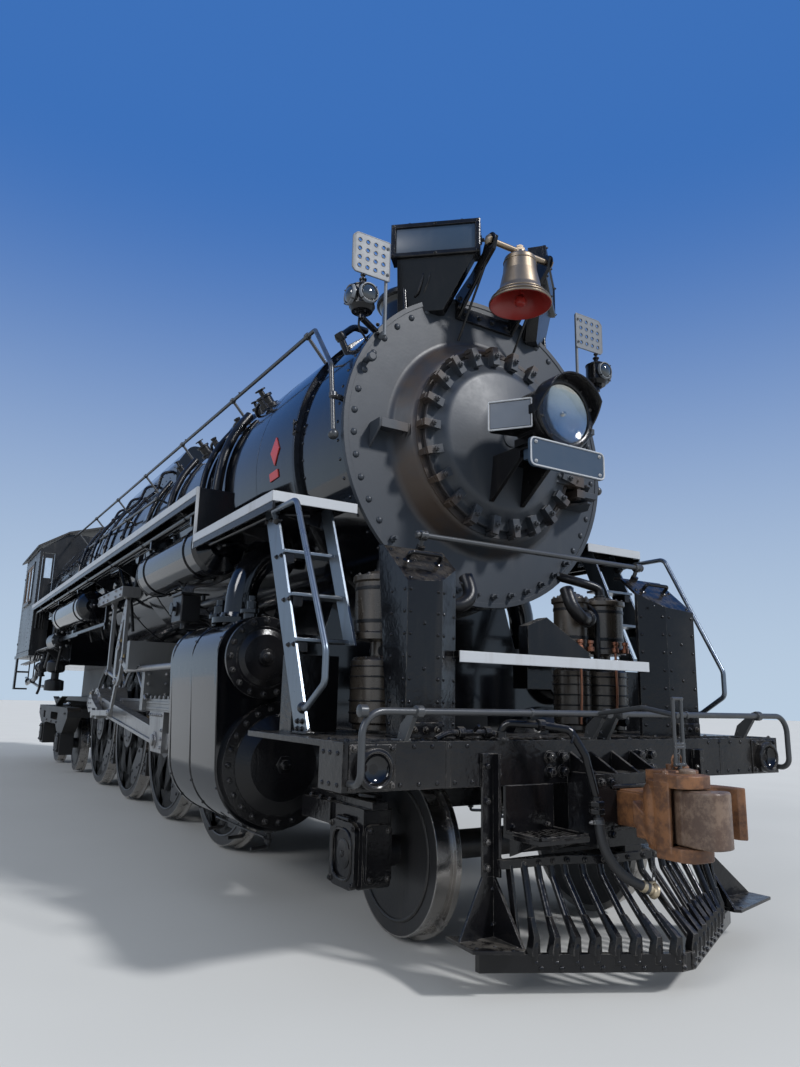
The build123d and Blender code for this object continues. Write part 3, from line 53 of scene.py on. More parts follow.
# Front air hose: black cloth-wrapped rubber, pushed over the end of the brake pipe and clamped there with a
# bolted band, and hanging from it round to its coupling. Its masks for dirt and weave are sums and products
# of noise.
class Socket:
    """A node's output. Plus, minus and times add Math nodes, and node() adds any other."""

    def __init__(self, tree, out):
        self.tree, self.out = tree, out

    def node(self, kind, settings=(), sockets=(), output=0):
        made = self.tree.nodes.new(kind)
        for key, value in dict(settings).items():
            setattr(made, key, value)
        for key, value in dict(sockets).items():
            if isinstance(value, Socket):
                self.tree.links.new(value.out, made.inputs[key])
            else:
                made.inputs[key].default_value = value
        return Socket(self.tree, made.outputs[output])

    def maths(self, operation, *values):
        return self.node("ShaderNodeMath", {"operation": operation}, enumerate(values))

    def __add__(self, other):
        return self.maths("ADD", self, other)

    def __sub__(self, other):
        return self.maths("SUBTRACT", self, other)

    def __rsub__(self, other):
        return self.maths("SUBTRACT", other, self)

    def __mul__(self, other):
        return self.maths("MULTIPLY", self, other)

    __radd__, __rmul__ = __add__, __mul__

    def between(self, low, high):
        """Rises smoothly from 0 to 1 while this goes from low to high."""
        return self.node("ShaderNodeMapRange", {"interpolation_type": "SMOOTHSTEP"},
            {"Value": self, "From Min": low, "From Max": high})

    def noise(self, scale, detail=3, rough=0.55):
        return self.node("ShaderNodeTexNoise", {}, {"Vector": self, "Scale": scale, "Detail": detail,
            "Roughness": rough})

    def stretched(self, x, y, z):
        return self.node("ShaderNodeVectorMath", {"operation": "MULTIPLY"}, {0: self, 1: (x, y, z)})

    def part(self, letter):
        return self.node("ShaderNodeSeparateXYZ", {}, {0: self}, "XYZ".index(letter))

    def mixed(self, under, over):
        """Two colours mixed by this mask."""
        colours = {6: under, 7: over}
        return self.node("ShaderNodeMix", {"data_type": "RGBA"},
            {0: self, **{k: v if isinstance(v, Socket) else (*v, 1) for k, v in colours.items()}}, 2)

    def feed(self, name):
        self.tree.links.new(self.out, self.tree.nodes["Principled BSDF"].inputs[name])


def new_finish(name, **fixed):
    """A material with its fixed values on the shader, and the place on the object in metres."""
    material = bpy.data.materials.new(name)
    material.use_nodes = True
    shader = material.node_tree.nodes["Principled BSDF"]
    for key, value in fixed.items():
        shader.inputs[key.replace("_", " ")].default_value = value
    place = material.node_tree.nodes.new("ShaderNodeTexCoord").outputs["Object"]
    return material, Socket(material.node_tree, place)


def weathered(name, colour, rough, dust=(0.15, 0.13, 0.11), dusting=0.25, drips=0.3, lumps=0.12, grain=60,
        worn=0.5, bare=(0.20, 0.19, 0.18), ease=0.004, tint=None, tread=None, **fixed):
    """Paint, casting or worked steel out in the weather: uneven gloss, dust on what faces up, drips down
    the sides, a fine grain, and edges that are eased and rubbed bare. A tint (mask and colour) or a tread
    goes over the colour."""
    material, place = new_finish(name, **fixed)
    true = place.node("ShaderNodeNewGeometry", {}, {}, "Normal")
    eased = place.node("ShaderNodeBevel", {"samples": 4}, {"Radius": ease})
    edge = 1 - place.node("ShaderNodeVectorMath", {"operation": "DOT_PRODUCT"},
        {0: true, 1: eased}, "Value")
    upward = true.part("Z")
    cloud = place.noise(1.7, 4)
    fine = place.noise(14, 5, 0.65)
    drip = place.stretched(9, 9, 0.8).noise(1.0, 4, 0.6).between(0.52, 0.74)
    top = upward.between(0.45, 0.98) * fine.between(0.35, 0.7)
    dirt = top * dusting + drip * (1 - upward.between(0.2, 0.8)) * (drips * 0.3) + cloud.between(0.5,
        0.8) * (dusting * 0.2)
    coat = dirt.mixed(colour, dust)
    if tint:
        coat = tint[0](place).mixed(coat, tint[1])
    rub = edge.between(0.004, 0.09) * fine.between(0.42, 0.62) * worn
    coat = rub.mixed(coat, bare)
    gloss = rough + dirt * (0.7 - rough) + (fine - 0.5) * 0.14 + (cloud - 0.5) * 0.12
    if tread:
        mask = tread(place)
        coat = mask.mixed(coat, (0.42, 0.40, 0.38))
        mask.feed("Metallic")
        gloss = gloss * (1 - mask * 0.35)
    coat.feed("Base Color")
    gloss.feed("Roughness")
    ripple = place.noise(grain, 2) * 0.5 + place.noise(grain * 0.15, 2) * 0.5
    place.node("ShaderNodeBump", {}, {"Strength": lumps, "Distance": 0.005, "Height": ripple,
        "Normal": eased}).feed("Normal")
    return material


FLANGE_TIP, BEAM_FRONT = 28, 7511.5
AHEAD, AFT, UP, DOWN, OUT, IN = (0, -1, 0), (0, 1, 0), (0, 0, 1), (0, 0, -1), (1, 0, 0), (-1, 0, 0)


def at(x, d, h):
    """A place in metres, from millimetres across, aft of the beam's front and above the treads' foot."""
    return Vector((x, d - BEAM_FRONT, h + FLANGE_TIP)) / 1000


class Work:
    """Gathers the forms of one piece, in millimetres, into one mesh. With side -1, x counts to the right."""

    def __init__(self, side=1):
        self.mesh, self.side = bmesh.new(), side

    def at(self, x, d, h):
        return at(self.side * x, d, h)

    def skin(self, rings, **how):
        """Joins rings of places in millimetres."""
        return self.join([[self.at(*place) for place in ring] for ring in rings], **how)

    def join(self, rings, loop=False, caps=True):
        """Joins rings of places in metres, one after the other, and closes both ends."""
        made = [[self.mesh.verts.new(place) for place in ring] for ring in rings]
        count = len(made[0])
        for near, far in zip(made, made[1:] + made[:1] if loop else made[1:]):
            for n in range(count):
                self.mesh.faces.new((near[n], near[(n + 1) % count], far[(n + 1) % count], far[n]))
        if caps and not loop:
            self.mesh.faces.new(made[0][::-1])
            self.mesh.faces.new(made[-1])
        return made

    def turned(self, centre, axis, outline, steps=24, caps=True):
        """A turned form: rings of (radius, distance along the axis) round a centre."""
        spin = Vector((self.side * axis[0], *axis[1:])).to_track_quat("Z", "Y").to_matrix()
        turns = [tau * n / steps for n in range(steps)]
        self.join([[self.at(*centre) + spin @ Vector((r * cos(a), r * sin(a), along)) / 1000 for a in turns]
            for r, along in outline], caps=caps)

    def bar(self, start, end, radius, steps=12):
        run = Vector(end) - Vector(start)
        self.turned(start, run, ((radius, 0), (radius, run.length)), steps)

    def pipe(self, places, radius, bend=70, steps=10, loop=False):
        """A round pipe through these places, each corner eased into a bend."""
        points = [self.at(*place) for place in places]
        around = [points[-1], *points, points[0]] if loop else points
        line = [] if loop else [points[0]]
        for before, corner, after in zip(around, around[1:], around[2:]):
            near, far = [corner + (other - corner).normalized() * min(bend / 1000,
                (other - corner).length * 0.48) for other in (before, after)]
            line += [near.lerp(corner, t).lerp(corner.lerp(far, t), t) for t in (0, 0.25, 0.5, 0.75, 1)]
        if not loop:
            line.append(points[-1])
        side = (line[1] - line[0]).orthogonal()
        rings = []
        for n, place in enumerate(line):
            after = line[(n + 1) % len(line)] if loop else line[min(n + 1, len(line) - 1)]
            before = line[n - 1] if loop or n else line[0]
            along = (after - before).normalized()
            side = (side - along * side.dot(along)).normalized()
            rings.append([place + (side * cos(a) + along.cross(side) * sin(a)) * radius / 1000
                for a in (tau * k / steps for k in range(steps))])
        self.join(rings, loop=loop)

    def plate(self, axis, span, outline, ease=3):
        """A flat plate: its outline as seen along the axis, between two places on it, its edges eased."""
        spread = {"x": lambda s, p: (s, *p), "y": lambda s, p: (p[0], s, p[1]),
            "z": lambda s, p: (*p, s)}[axis]
        made = self.skin([[spread(s, p) for p in outline] for s in span])
        if ease:
            edges = {edge for ring in made for corner in ring for edge in corner.link_edges}
            bmesh.ops.bevel(self.mesh, geom=list(edges), offset=ease / 1000, segments=1, affect="EDGES",
                clamp_overlap=True)

    def box(self, x, d, h, ease=3):
        self.plate("x", x, ((d[0], h[0]), (d[1], h[0]), (d[1], h[1]), (d[0], h[1])), ease)

    def rivets(self, places, axis, radius=14):
        """Domed heads."""
        for place in places:
            self.turned(place, axis, ((radius, -2), (radius, 1), (radius * 0.85, radius * 0.35),
                (radius * 0.5, radius * 0.6), (radius * 0.12, radius * 0.68)), 10)

    def bolts(self, places, axis, size=18, tall=14):
        """Hexagon heads on washers, with the end of the thread standing out."""
        for place in places:
            self.turned(place, axis, ((size * 1.3, -2), (size * 1.3, 3)), 12)
            self.turned(place, axis, ((size, 3), (size, tall), (size * 0.86, tall + 3)), 6)
            self.turned(place, axis, ((size * 0.5, tall), (size * 0.5, tall + 7)), 8)

    def done(self, name, slot, material, body="engine"):
        """The finished piece, on the body that carries it."""
        bmesh.ops.recalc_face_normals(self.mesh, faces=self.mesh.faces)
        shape = bpy.data.meshes.new(name)
        self.mesh.to_mesh(shape)
        self.mesh.free()
        shape.polygons.foreach_set("use_smooth", [True] * len(shape.polygons))
        shape.set_sharp_from_angle(angle=radians(32))
        shape.materials.append(material)
        piece = bpy.data.objects.new(name, shape)
        bpy.context.scene.collection.objects.link(piece)
        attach(piece, body)
        return piece


HOSE = ((-319, -275, 762), (-320, -286, 675), (-296, -300, 592), (-248, -316, 521), (-182, -333, 467),
    (-102, -349, 435))
HOSE_RADIUS = 25
hose_rubber = weathered("hose_rubber", (0.018, 0.018, 0.019), 0.55, lumps=0.35, grain=220,
    worn=0, dusting=0.4)
line = bpy.data.curves.new("air_hose_rubber", "CURVE")
line.dimensions = "3D"
line.bevel_depth = HOSE_RADIUS / 1000
line.bevel_resolution = 6
line.use_fill_caps = True
spline = line.splines.new("NURBS")
spline.points.add(len(HOSE) - 1)
for point, place in zip(spline.points, HOSE):
    point.co = (*at(*place), 1)
spline.order_u = 3
spline.use_endpoint_u = True
hose = bpy.data.objects.new("air_hose_rubber", line)
line.materials.append(hose_rubber)
bpy.context.scene.collection.objects.link(hose)
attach(hose, "engine")
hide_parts("air_hose")

# Hose coupling: a pale brass gladhand on a ferrule, locked by a quarter turn to the next one. A short chain
# holds it up when it is not in use.
def links(work, start, step, count, half, tall, radius, bend):
    """A chain: links of round bar, each turned a quarter from the last."""
    for n in range(count):
        x, d, h = (place + n * stride for place, stride in zip(start, step))
        u, v = (half, 0) if n % 2 else (0, half)
        work.pipe([(x + u * turn, d + v * turn, h + rise) for turn, rise in ((-1, 0), (-1, tall), (1, tall),
            (1, 0))], radius, bend, 6, loop=True)


gladhand_brass = weathered("gladhand_brass", (0.42, 0.35, 0.24), 0.42, dust=(0.12, 0.10, 0.08), dusting=0.5,
    Metallic=0.6, bare=(0.7, 0.6, 0.42), lumps=0.25)
clamp_steel = weathered("clamp_steel", (0.055, 0.058, 0.062), 0.32, worn=0.8,
    bare=(0.4, 0.39, 0.38), Metallic=0.3)
FERRULE, HEAD = (-102, -349, 435), (-54, -358.6, 415.8)
run = Vector(HEAD) - Vector(FERRULE)
gladhand = Work()
gladhand.turned(FERRULE, run, ((26, -8), (29, -4), (29, 14), (24, 18), (24, 30), (29, 34), (29, 44),
    (22, 50), (21, 56)), 20)
gladhand.turned(HEAD, run, ((20, 0), (34, 8), (39, 16), (39, 24), (34, 29), (24, 29), (22, 24), (13, 24),
    (12, 29)), 24)
gladhand.plate("y", (-372, -350), ((-58, 384), (-36, 372), (-22, 380), (-30, 402), (-50, 410)))
gladhand.bar((-62, -357, 446), (-30, -366, 452), 8)
gladhand = gladhand.done("gladhand", "hose_fitting", gladhand_brass)
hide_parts("hose_coupling")
clamps = Work()
for place, towards in ((HOSE[0], (0, 0.1, 1)), (FERRULE, tuple(-run))):
    clamps.turned(place, towards, ((26, -34), (29, -32), (29, -12), (26, -10)), 20)
clamps.box((-368, -340), (-280, -268), (730, 750))
clamps.bolts([(-366, -274, 740)], (-1, 0, 0), 7, 8)
clamps = clamps.done("hose_clamps", "hose_fitting", clamp_steel)
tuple(at(*HOSE[0]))
chain = Work()
links(chain, (-34, -362, 452), (0, 0, 23), 8, 9, 30, 3, 8)
chain.done("gladhand_chain", "black_paint", clamp_steel)

# Engine bed: one steel casting with machined jaws, closed below by bolted binders. Leaf springs stand over
# the driving boxes, tied at their ends to the bed by hangers.
cast_black = weathered("cast_black", (0.007, 0.007, 0.008), 0.32, lumps=0.4, grain=120, worn=0.6,
    dusting=0.2, Specular_IOR_Level=0.35)
grimy_black = weathered("grimy_black", (0.016, 0.015, 0.014), 0.5, dust=(0.09, 0.07, 0.055), dusting=0.5,
    lumps=0.35, grain=90)


def give(material, *names):
    """The material goes into the slots of these nodes, whose meshes stay as they are."""
    for name in names:
        slots = nodes[name].material_slots
        if not slots:
            nodes[name].data.materials.append(material)
        for slot in slots:
            slot.material = material


def leaf(work, x, middle, half, h, thick, camber):
    """One leaf of a spring, bent up towards its ends."""
    work.plate("x", x, [(middle + half * t, h + v + camber * t * t)
        for v, turns in ((0, (-1, -0.5, 0, 0.5, 1)), (thick, (1, 0.5, 0, -0.5, -1))) for t in turns], 0)


def spots(*steps):
    """Every place whose x, d and h are these, where each is one number or several."""
    return list(itertools.product(*[step if isinstance(step, (tuple, range)) else (step,)
        for step in steps]))


give(grimy_black, "engine_bed", "driving_boxes", "ashpan", "brakes")
DRIVER_AXLES = (3918, 5772, 7626, 9480)
SIDES = ((-1, "right", 45), (1, "left", -45))


def both(*works):
    """The right side, then the left, while x counts outwards in these works."""
    for row in SIDES:
        for work in works:
            work.side = row[0]
        yield row


bed = Work()
for _ in both(bed):
    for axle in DRIVER_AXLES:
        for n in range(9):
            leaf(bed, (440, 550), axle, 120 + n * 45, 1320 + n * 15, 13, 60)
        bed.box((432, 558), (axle - 45, axle + 45), (1232, 1462))
        for end in (axle - 455, axle + 455):
            bed.box((470, 520), (end - 18, end + 18), (1228, 1530))
        bed.bolts([(x, axle + d, 520) for x in (460, 530) for d in (-265, 265)], DOWN, 24, 26)
    bed.bolts(spots(560, range(2000, 10800, 400), 1155), OUT, 16, 14)
bed.bolts(spots((-450, -220, 220, 450), (420, 900, 1300), 1008), DOWN, 20, 16)
bed.done("bed_springs_and_bolts", "cast_black", grimy_black)

# Brake rigging: forged hangers and beams of plain bar that pull the cast shoes against the treads. Bolts
# hold the beams in their hangers, and two long rods join them.
rigging = Work()
for axle in DRIVER_AXLES:
    rigging.bar((-740, axle - 875, 480), (740, axle - 875, 480), 26)
    for _ in both(rigging):
        rigging.bolts([(808, axle - 830, 470), (808, axle - 870, 400)], OUT, 18, 12)
        rigging.box((380, 420), (axle - 892, axle - 858), (440, 520))
for x in (-400, 400):
    rigging.box((x - 14, x + 14), (3040, 8610), (440, 470))
rigging.done("brake_beams", "wheel_black", grimy_black)


# Driving wheels: hollow cast centres with rounded openings, a counterweight opposite the crank, and steel
# tyres shrunk on, rubbed bright where they roll. The crank pins carry bolted collars.
def rolled(axle, radius):
    """A mask for the bright running surface of a wheel."""
    def mask(place):
        away = place.node("ShaderNodeVectorMath", {"operation": "SUBTRACT"},
            {0: place, 1: at(0, axle, radius)}).stretched(0, 1, 1)
        reach = away.node("ShaderNodeVectorMath", {"operation": "LENGTH"}, {0: away}, "Value")
        return reach.between(radius / 1000 - 0.012, radius / 1000 - 0.004) * place.noise(9,
            3).between(0.25, 0.45)
    return mask


def wheel_finish(name, axle, radius):
    return weathered(name, (0.017, 0.017, 0.018), 0.38, dust=(0.08, 0.065, 0.05), dusting=0.45, drips=0.5,
        lumps=0.3, tread=rolled(axle, radius))


def ring_of(centre, radius, count, axis="y", start=0.0):
    """Places spaced round a circle that faces along the axis."""
    for n in range(count):
        a = start + tau * n / count
        u, v = radius * cos(a), radius * sin(a)
        x, d, h = centre
        yield {"x": (x, d + u, h + v), "y": (x + u, d, h + v), "z": (x + u, d + v, h)}[axis]


rod_steel = weathered("rod_steel", (0.30, 0.295, 0.29), 0.36, dust=(0.07, 0.055, 0.045), dusting=0.5,
    drips=0.9, Metallic=0.75, bare=(0.6, 0.59, 0.57), lumps=0.08, grain=200)
DRIVER_TREAD, DRIVER_FACE, CRANK = 876, 790, 432
OPENING = ((330, -62), (330, 62), (690, 125), (690, -125))
for number, axle in enumerate(DRIVER_AXLES, 1):
    name = f"driver_{number}"
    finish = wheel_finish(f"driver_finish_{number}", axle, DRIVER_TREAD)
    give(finish, name)
    wheel = Work()
    for _, _, angle in both(wheel):
        for turn in (40, 80, 120, -120, -80, -40):
            a = radians(angle + turn)
            wheel.pipe([(DRIVER_FACE, axle + r * cos(a) - t * sin(a),
                DRIVER_TREAD + r * sin(a) + t * cos(a)) for r, t in OPENING], 11, 60, 8, loop=True)
        wheel.turned((813, axle, DRIVER_TREAD), OUT, ((800, 0), (800, 9), (790, 12), (780, 9),
            (780, 0)), 64)
        wheel.turned((855, axle, DRIVER_TREAD), OUT, ((185, 0), (185, 5), (150, 8), (120, 8), (112, 3),
            (30, 3), (20, -4), (6, -8)), 32)
        wheel.bolts(ring_of((862, axle, DRIVER_TREAD), 165, 8, "x"), OUT, 9, 5)
        weight = radians(angle + 180)
        for reach, spread in ((590, -0.32), (590, 0.32), (730, -0.16), (730, 0.16), (660, 0)):
            wheel.rivets([(814, axle + reach * cos(weight + spread),
                DRIVER_TREAD + reach * sin(weight + spread))], OUT, 20)
        if number != 3:
            a = radians(angle)
            pin = (1003, axle + CRANK * cos(a), DRIVER_TREAD + CRANK * sin(a))
            wheel.turned(pin, OUT, ((96, 0), (96, 6), (84, 10), (40, 10), (36, 16), (12, 16)), 24)
            wheel.bolts(ring_of((pin[0] + 8, *pin[1:]), 70, 6, "x"), OUT, 8, 6)
    wheel.done(f"{name}_fittings", "wheel_black", finish, name)

# Side and main rods: forged steel, wiped with oil, fluted to save weight. Each eye has a bronze bush and a
# grease plug, and the main rod's strap is held by bolts.
bush_bronze = weathered("bush_bronze", (0.36, 0.25, 0.12), 0.38, dust=(0.06, 0.05, 0.04), dusting=0.5,
    Metallic=0.8, bare=(0.7, 0.55, 0.3))
MAIN_ROD_LENGTH, CYLINDER_X, CYLINDER_H = 3300, 1175, 880
for side, name, angle in SIDES:
    a = radians(angle)
    pins = [(axle + CRANK * cos(a), DRIVER_TREAD + CRANK * sin(a)) for axle in DRIVER_AXLES]
    main_d, main_h = pins[2]
    wrist = main_d - sqrt(MAIN_ROD_LENGTH ** 2 - (main_h - CYLINDER_H) ** 2)
    slope = atan2(main_h - CYLINDER_H, main_d - wrist)
    rods, crosshead = f"side_rods_{name}", f"crosshead_{name}"
    main_rod = f"main_rod_{name}"
    give(rod_steel, rods, crosshead, main_rod)
    plugs, bushes = Work(side), Work(side)
    for number, (d, h) in enumerate(pins):
        if number != 2:
            bushes.turned((985, d, h), OUT, ((118, -1), (118, 6), (142, 6), (142, -1)), 32)
        for x in (905, 950):
            plugs.turned((x, d, h + (208 if number == 2 else 154)), UP, ((17, 0), (17, 26), (11, 30),
                (11, 42), (6, 46)), 8)
    for (start, _), (end, _) in zip(pins, pins[1:]):
        for d in (start + 215, end - 215):
            plugs.bolts([(965, d, pins[0][1] + v) for v in (-38, 38)], OUT, 13, 8)
    plugs.done(f"side_rod_plugs_{name}", "rod_steel", rod_steel, rods)
    bushes.done(f"side_rod_bushes_{name}", "bell_bronze", bush_bronze, rods)

    def along(r, t):
        """A place on the main rod, so far from the wrist and above its middle line."""
        return wrist + r * cos(slope) - t * sin(slope), CYLINDER_H + r * sin(slope) + t * cos(slope)

    strap = Work(side)
    strap.bolts([(1241, *along(r, t)) for r in (3065, 3120) for t in (-105, 105)], OUT, 17, 7)
    strap.bolts([(1241, *along(3080, 0))], OUT, 22, 7)
    strap.turned((1240, main_d, main_h), OUT, ((150, 0), (150, 8), (176, 8), (176, 0)), 36)
    strap.turned((1224, wrist, CYLINDER_H), OUT, ((70, 0), (70, 6), (104, 6), (104, 0)), 28)
    for r, t in ((3300, 196), (0, 122)):
        d, h = along(r, t)
        strap.turned((1165, d, h), UP, ((20, 0), (20, 30), (12, 34), (12, 50), (6, 54)), 8)
    strap.bolts(ring_of((1318, main_d, main_h), 70, 6, "x"), OUT, 11, 8)
    strap.done(f"main_rod_strap_{name}", "rod_steel", rod_steel, main_rod)

    # Crosshead: a steel casting that hangs from the guide and carries the wrist pin, with bolted gibs of
    # white metal.
    gibs = Work(side)
    gibs.turned((1276, wrist, CYLINDER_H), OUT, ((88, 0), (88, 8), (60, 12), (60, 30), (50, 34)), 6)
    gibs.bolts([(1276, wrist + d, 1118) for d in (-200, -120, -40, 40, 120, 200)], OUT, 15, 12)
    gibs.bolts(spots(1276, wrist - 235, (820, 900, 980)), OUT, 15, 12)
    gibs.box((1115, 1235), (wrist - 330, wrist - 268), (805, 955))
    gibs.done(f"crosshead_gibs_{name}", "rod_steel", rod_steel, crosshead)

# Crosshead guides: planed steel bars bolted between the back cylinder head and the yoke plate, with a row
# of nuts along each edge.
guide_steel = weathered("guide_steel", (0.22, 0.22, 0.215), 0.38, dust=(0.06, 0.05, 0.04), Metallic=0.6,
    drips=0.8, bare=(0.6, 0.58, 0.55), grain=200)
give(guide_steel, "crosshead_guides")
guides = Work()
for _ in both(guides):
    for d in range(3180, 5020, 165):
        guides.bolts([(1090, d, 1270), (1245, d, 1270)], UP, 20, 26)
    for h in (1178, 1236):
        guides.box((1270, 1282), (3070, 5050), (h - 12, h + 12))
    guides.bolts(spots((640, 800, 960), 5060, (1600, 1700, 1810)), AHEAD, 18, 14)
    guides.bolts(spots((1090, 1270), 5060, (1310, 1420, 1520)), AHEAD, 18, 14)
guides.done("guide_bolts", "rod_steel", guide_steel)

# Cylinders: cast in one with their valve chests, lagged, and wrapped in polished black sheet held by bands.
# Each head is drawn up on a ring of studs. Drain cocks stand below, and a flanged steam pipe comes down
# from the smokebox.
jacket_black = weathered("jacket_black", (0.003, 0.0035, 0.005), 0.10, dusting=0.1, drips=0.1, lumps=0.05,
    grain=9, worn=0.3, Specular_IOR_Level=0.45, Coat_Weight=0.25, Coat_Roughness=0.04)
black_paint = weathered("black_paint", (0.005, 0.005, 0.006), 0.22, lumps=0.35, grain=70, worn=0.5,
    dusting=0.2, drips=0.15, Specular_IOR_Level=0.35)
give(jacket_black, "cylinders")
give(black_paint, "cylinder_heads")
VALVE_X, VALVE_H, CYLINDER_FRONT, CYLINDER_BACK = 1370, 1570, 1800, 2920
WIDEST = 1644.8
heads, wraps, cocks, steam_pipes = Work(), Work(), Work(), Work()
for _ in both(heads, wraps, cocks, steam_pipes):
    barrel, chest = (CYLINDER_X, CYLINDER_H), (VALVE_X, VALVE_H)
    for (x, h), d, way, radius, count in ((barrel, CYLINDER_FRONT - 59, -1, 370, 24),
            (chest, CYLINDER_FRONT - 155, -1, 240, 16), (barrel, CYLINDER_BACK + 54, 1, 366, 20),
            (chest, CYLINDER_BACK + 130, 1, 190, 12)):
        heads.bolts(ring_of((x, d, h), radius, count), (0, way, 0), 17, 18)
        heads.turned((x, d, h), (0, way, 0), ((radius - 44, -6), (radius - 44, 5), (radius - 36, 5),
            (radius - 36, -6)), 48)
    heads.turned((CYLINDER_X, CYLINDER_FRONT - 112, CYLINDER_H), AHEAD, ((62, -2), (62, 8), (34, 12),
        (34, 26), (24, 30)), 6)
    heads.turned((VALVE_X, CYLINDER_FRONT - 178, VALVE_H), AHEAD, ((54, -2), (54, 10), (30, 14), (30, 34),
        (18, 38)), 20)
    around = [(barrel, 431, radians(a)) for a in range(-100, 1, 8)] + [(chest, 276, radians(a))
        for a in range(0, 153, 9)]
    for d, wide in ((CYLINDER_FRONT + 8, 46), (2360, 34), (CYLINDER_BACK - 54, 46)):
        wraps.skin([[(min(x + (r + out) * cos(a), WIDEST), place, h + (r + out) * sin(a))
            for out, place in ((-3, d), (5, d + 3), (5, d + wide - 3), (-3, d + wide))]
            for (x, h), r, a in around])
        for (x, h), r, a in around[1::3]:
            if x + (r + 12) * cos(a) < WIDEST:
                place = (x + (r + 5) * cos(a), d + wide / 2, h + (r + 5) * sin(a))
                wraps.rivets([place], (cos(a), 0, sin(a)), 9)
    for d in (1900, 2350, 2790):
        cocks.turned((CYLINDER_X, d, 460), DOWN, ((30, 0), (30, 34), (18, 40), (18, 70), (26, 74), (26, 96),
            (10, 100)), 8)
        cocks.pipe([(CYLINDER_X, d, 372), (CYLINDER_X, d, 338), (CYLINDER_X + 120, d, 330)], 13, 30)
    cocks.pipe([(CYLINDER_X + 34, 1880, 402), (CYLINDER_X + 34, 2860, 402)], 8)
    steam_pipes.pipe([(860, 2250, 2400), (1150, 2250, 2400), (1340, 2250, 2180),
        (1360, 2250, 1820)], 112, 190, 24)
    steam_pipes.turned((1360, 2250, 1830), UP, ((190, 0), (190, 40), (135, 46), (128, 80)), 32)
    steam_pipes.bolts(ring_of((1360, 2250, 1870), 162, 10, "z"), UP, 18, 22)
    steam_pipes.turned((985, 2250, 2400), OUT, ((128, 0), (170, 6), (170, 46), (128, 52)), 32)
    steam_pipes.turned((1365, 2620, 1840), UP, ((70, 0), (70, 50), (96, 54), (96, 84), (60, 92), (60, 150),
        (44, 160), (44, 200), (20, 206)), 16)
    steam_pipes.bolts(ring_of((1365, 2620, 1924), 78, 6, "z"), UP, 12, 12)
    steam_pipes.turned((1365, 1960, 1842), UP, ((60, 0), (60, 40), (84, 44), (84, 70), (40, 78), (40, 130),
        (28, 134), (28, 168), (12, 172)), 16)
heads.done("cylinder_studs", "cast_black", black_paint)
wraps.done("cylinder_bands", "jacket_black", jacket_black)
cocks.done("drain_cocks", "cast_black", cast_black)
steam_pipes.done("steam_pipes", "jacket_black", jacket_black)

# Lubricator and by-pass valves: small iron castings on the chest and guide yoke, joined by bundles of
# copper pipe that has been painted over.
fittings = Work()
for _ in both(fittings):
    fittings.box((1400, 1560), (3060, 3330), (1900, 2120), 8)
    fittings.box((1390, 1570), (3050, 3340), (2120, 2140), 4)
    fittings.turned((1565, 3195, 2010), OUT, ((60, -2), (60, 8), (20, 10), (20, 34), (52, 36),
        (52, 42), (8, 44)), 16)
    fittings.bar((1480, 3195, 1850), (1480, 3195, 1900), 40)
    fittings.box((1150, 1500), (3150, 3250), (1850, 1880))
    for n in range(6):
        d = 3080 + n * 46
        fittings.pipe([(1470, d, 2138), (1470, d, 2190 + n * 8), (1330, d - 40, 2210 + n * 8),
            (1180 + n * 8, 2960 - n * 60, 2300 + n * 12)], 9, 50, 8)
    for n in range(3):
        fittings.pipe([(1400, 3100 + n * 60, 1960), (1300, 3100, 1960 - n * 30),
            (1300, 3000, 1900 - n * 30), (1330 - n * 30, 2880, 1850)], 9, 50, 8)
    fittings.pipe([(1290, 2480, 1950), (1290, 2480, 2080), (1290, 3550, 2080), (1140, 3650, 2150)], 30, 90)
    for d, h in ((2480, 1930), (2700, 2080), (3350, 2080)):
        fittings.turned((1290, d, h - 36), UP, ((44, 0), (44, 22), (34, 24), (34, 50), (44, 52), (44, 72),
            (16, 76), (16, 120), (50, 122), (50, 130), (10, 132)), 12)
fittings.done("lubricators", "cast_black", cast_black)

# Smokebox: a rolled steel drum behind a thick front plate held by studs. Its rear half is covered by the
# jacket, whose front edge is drawn down by a bolted band, and two blank enamel plates are riveted to the
# right side.
PLATE_FACE = 1067
BOILER_H, SMOKEBOX_R, JACKET_R = 3114, 1156, 1190
SCORCHED = (0.052, 0.036, 0.026)


def scorched(place):
    """Brown patches on the flare round the door, where the heat takes the paint."""
    away = place.node("ShaderNodeVectorMath", {"operation": "SUBTRACT"},
        {0: place, 1: at(0, 0, BOILER_H)}).stretched(1, 0, 1)
    reach = away.node("ShaderNodeVectorMath", {"operation": "LENGTH"}, {0: away}, "Value")
    return reach.between(0.60, 0.68) * (1 - reach.between(0.76, 0.86)) * place.noise(2.2, 4,
        0.6).between(0.30, 0.62)


graphite = weathered("graphite", (0.026, 0.032, 0.041), 0.46, dust=(0.09, 0.085, 0.08), dusting=0.4,
    drips=0.6, lumps=0.12, grain=50, worn=0.35, tint=(scorched, SCORCHED))
give(graphite, "smokebox_front", "smokebox_door")
give(jacket_black, "smokebox", "boiler")
front = Work()
for n in range(44):
    a = tau * (n + 0.5) / 44
    place = (1078 * cos(a), PLATE_FACE, BOILER_H + 1078 * sin(a))
    if sin(a) < -0.62:
        front.bar(place, (place[0], 1002, place[2]), 13, 8)
        front.turned(place, AHEAD, ((24, 0), (24, 22), (20, 25)), 6)
    elif abs(cos(a)) > 0.35:
        front.rivets([place], AHEAD, 24)
front.turned((0, PLATE_FACE, BOILER_H), AHEAD, ((1122, -2), (1122, 5), (1156, 5), (1156, -2)), 96)
front.turned((0, 912, BOILER_H), AHEAD, ((662, 0), (662, 9), (690, 9), (690, 0)), 72)
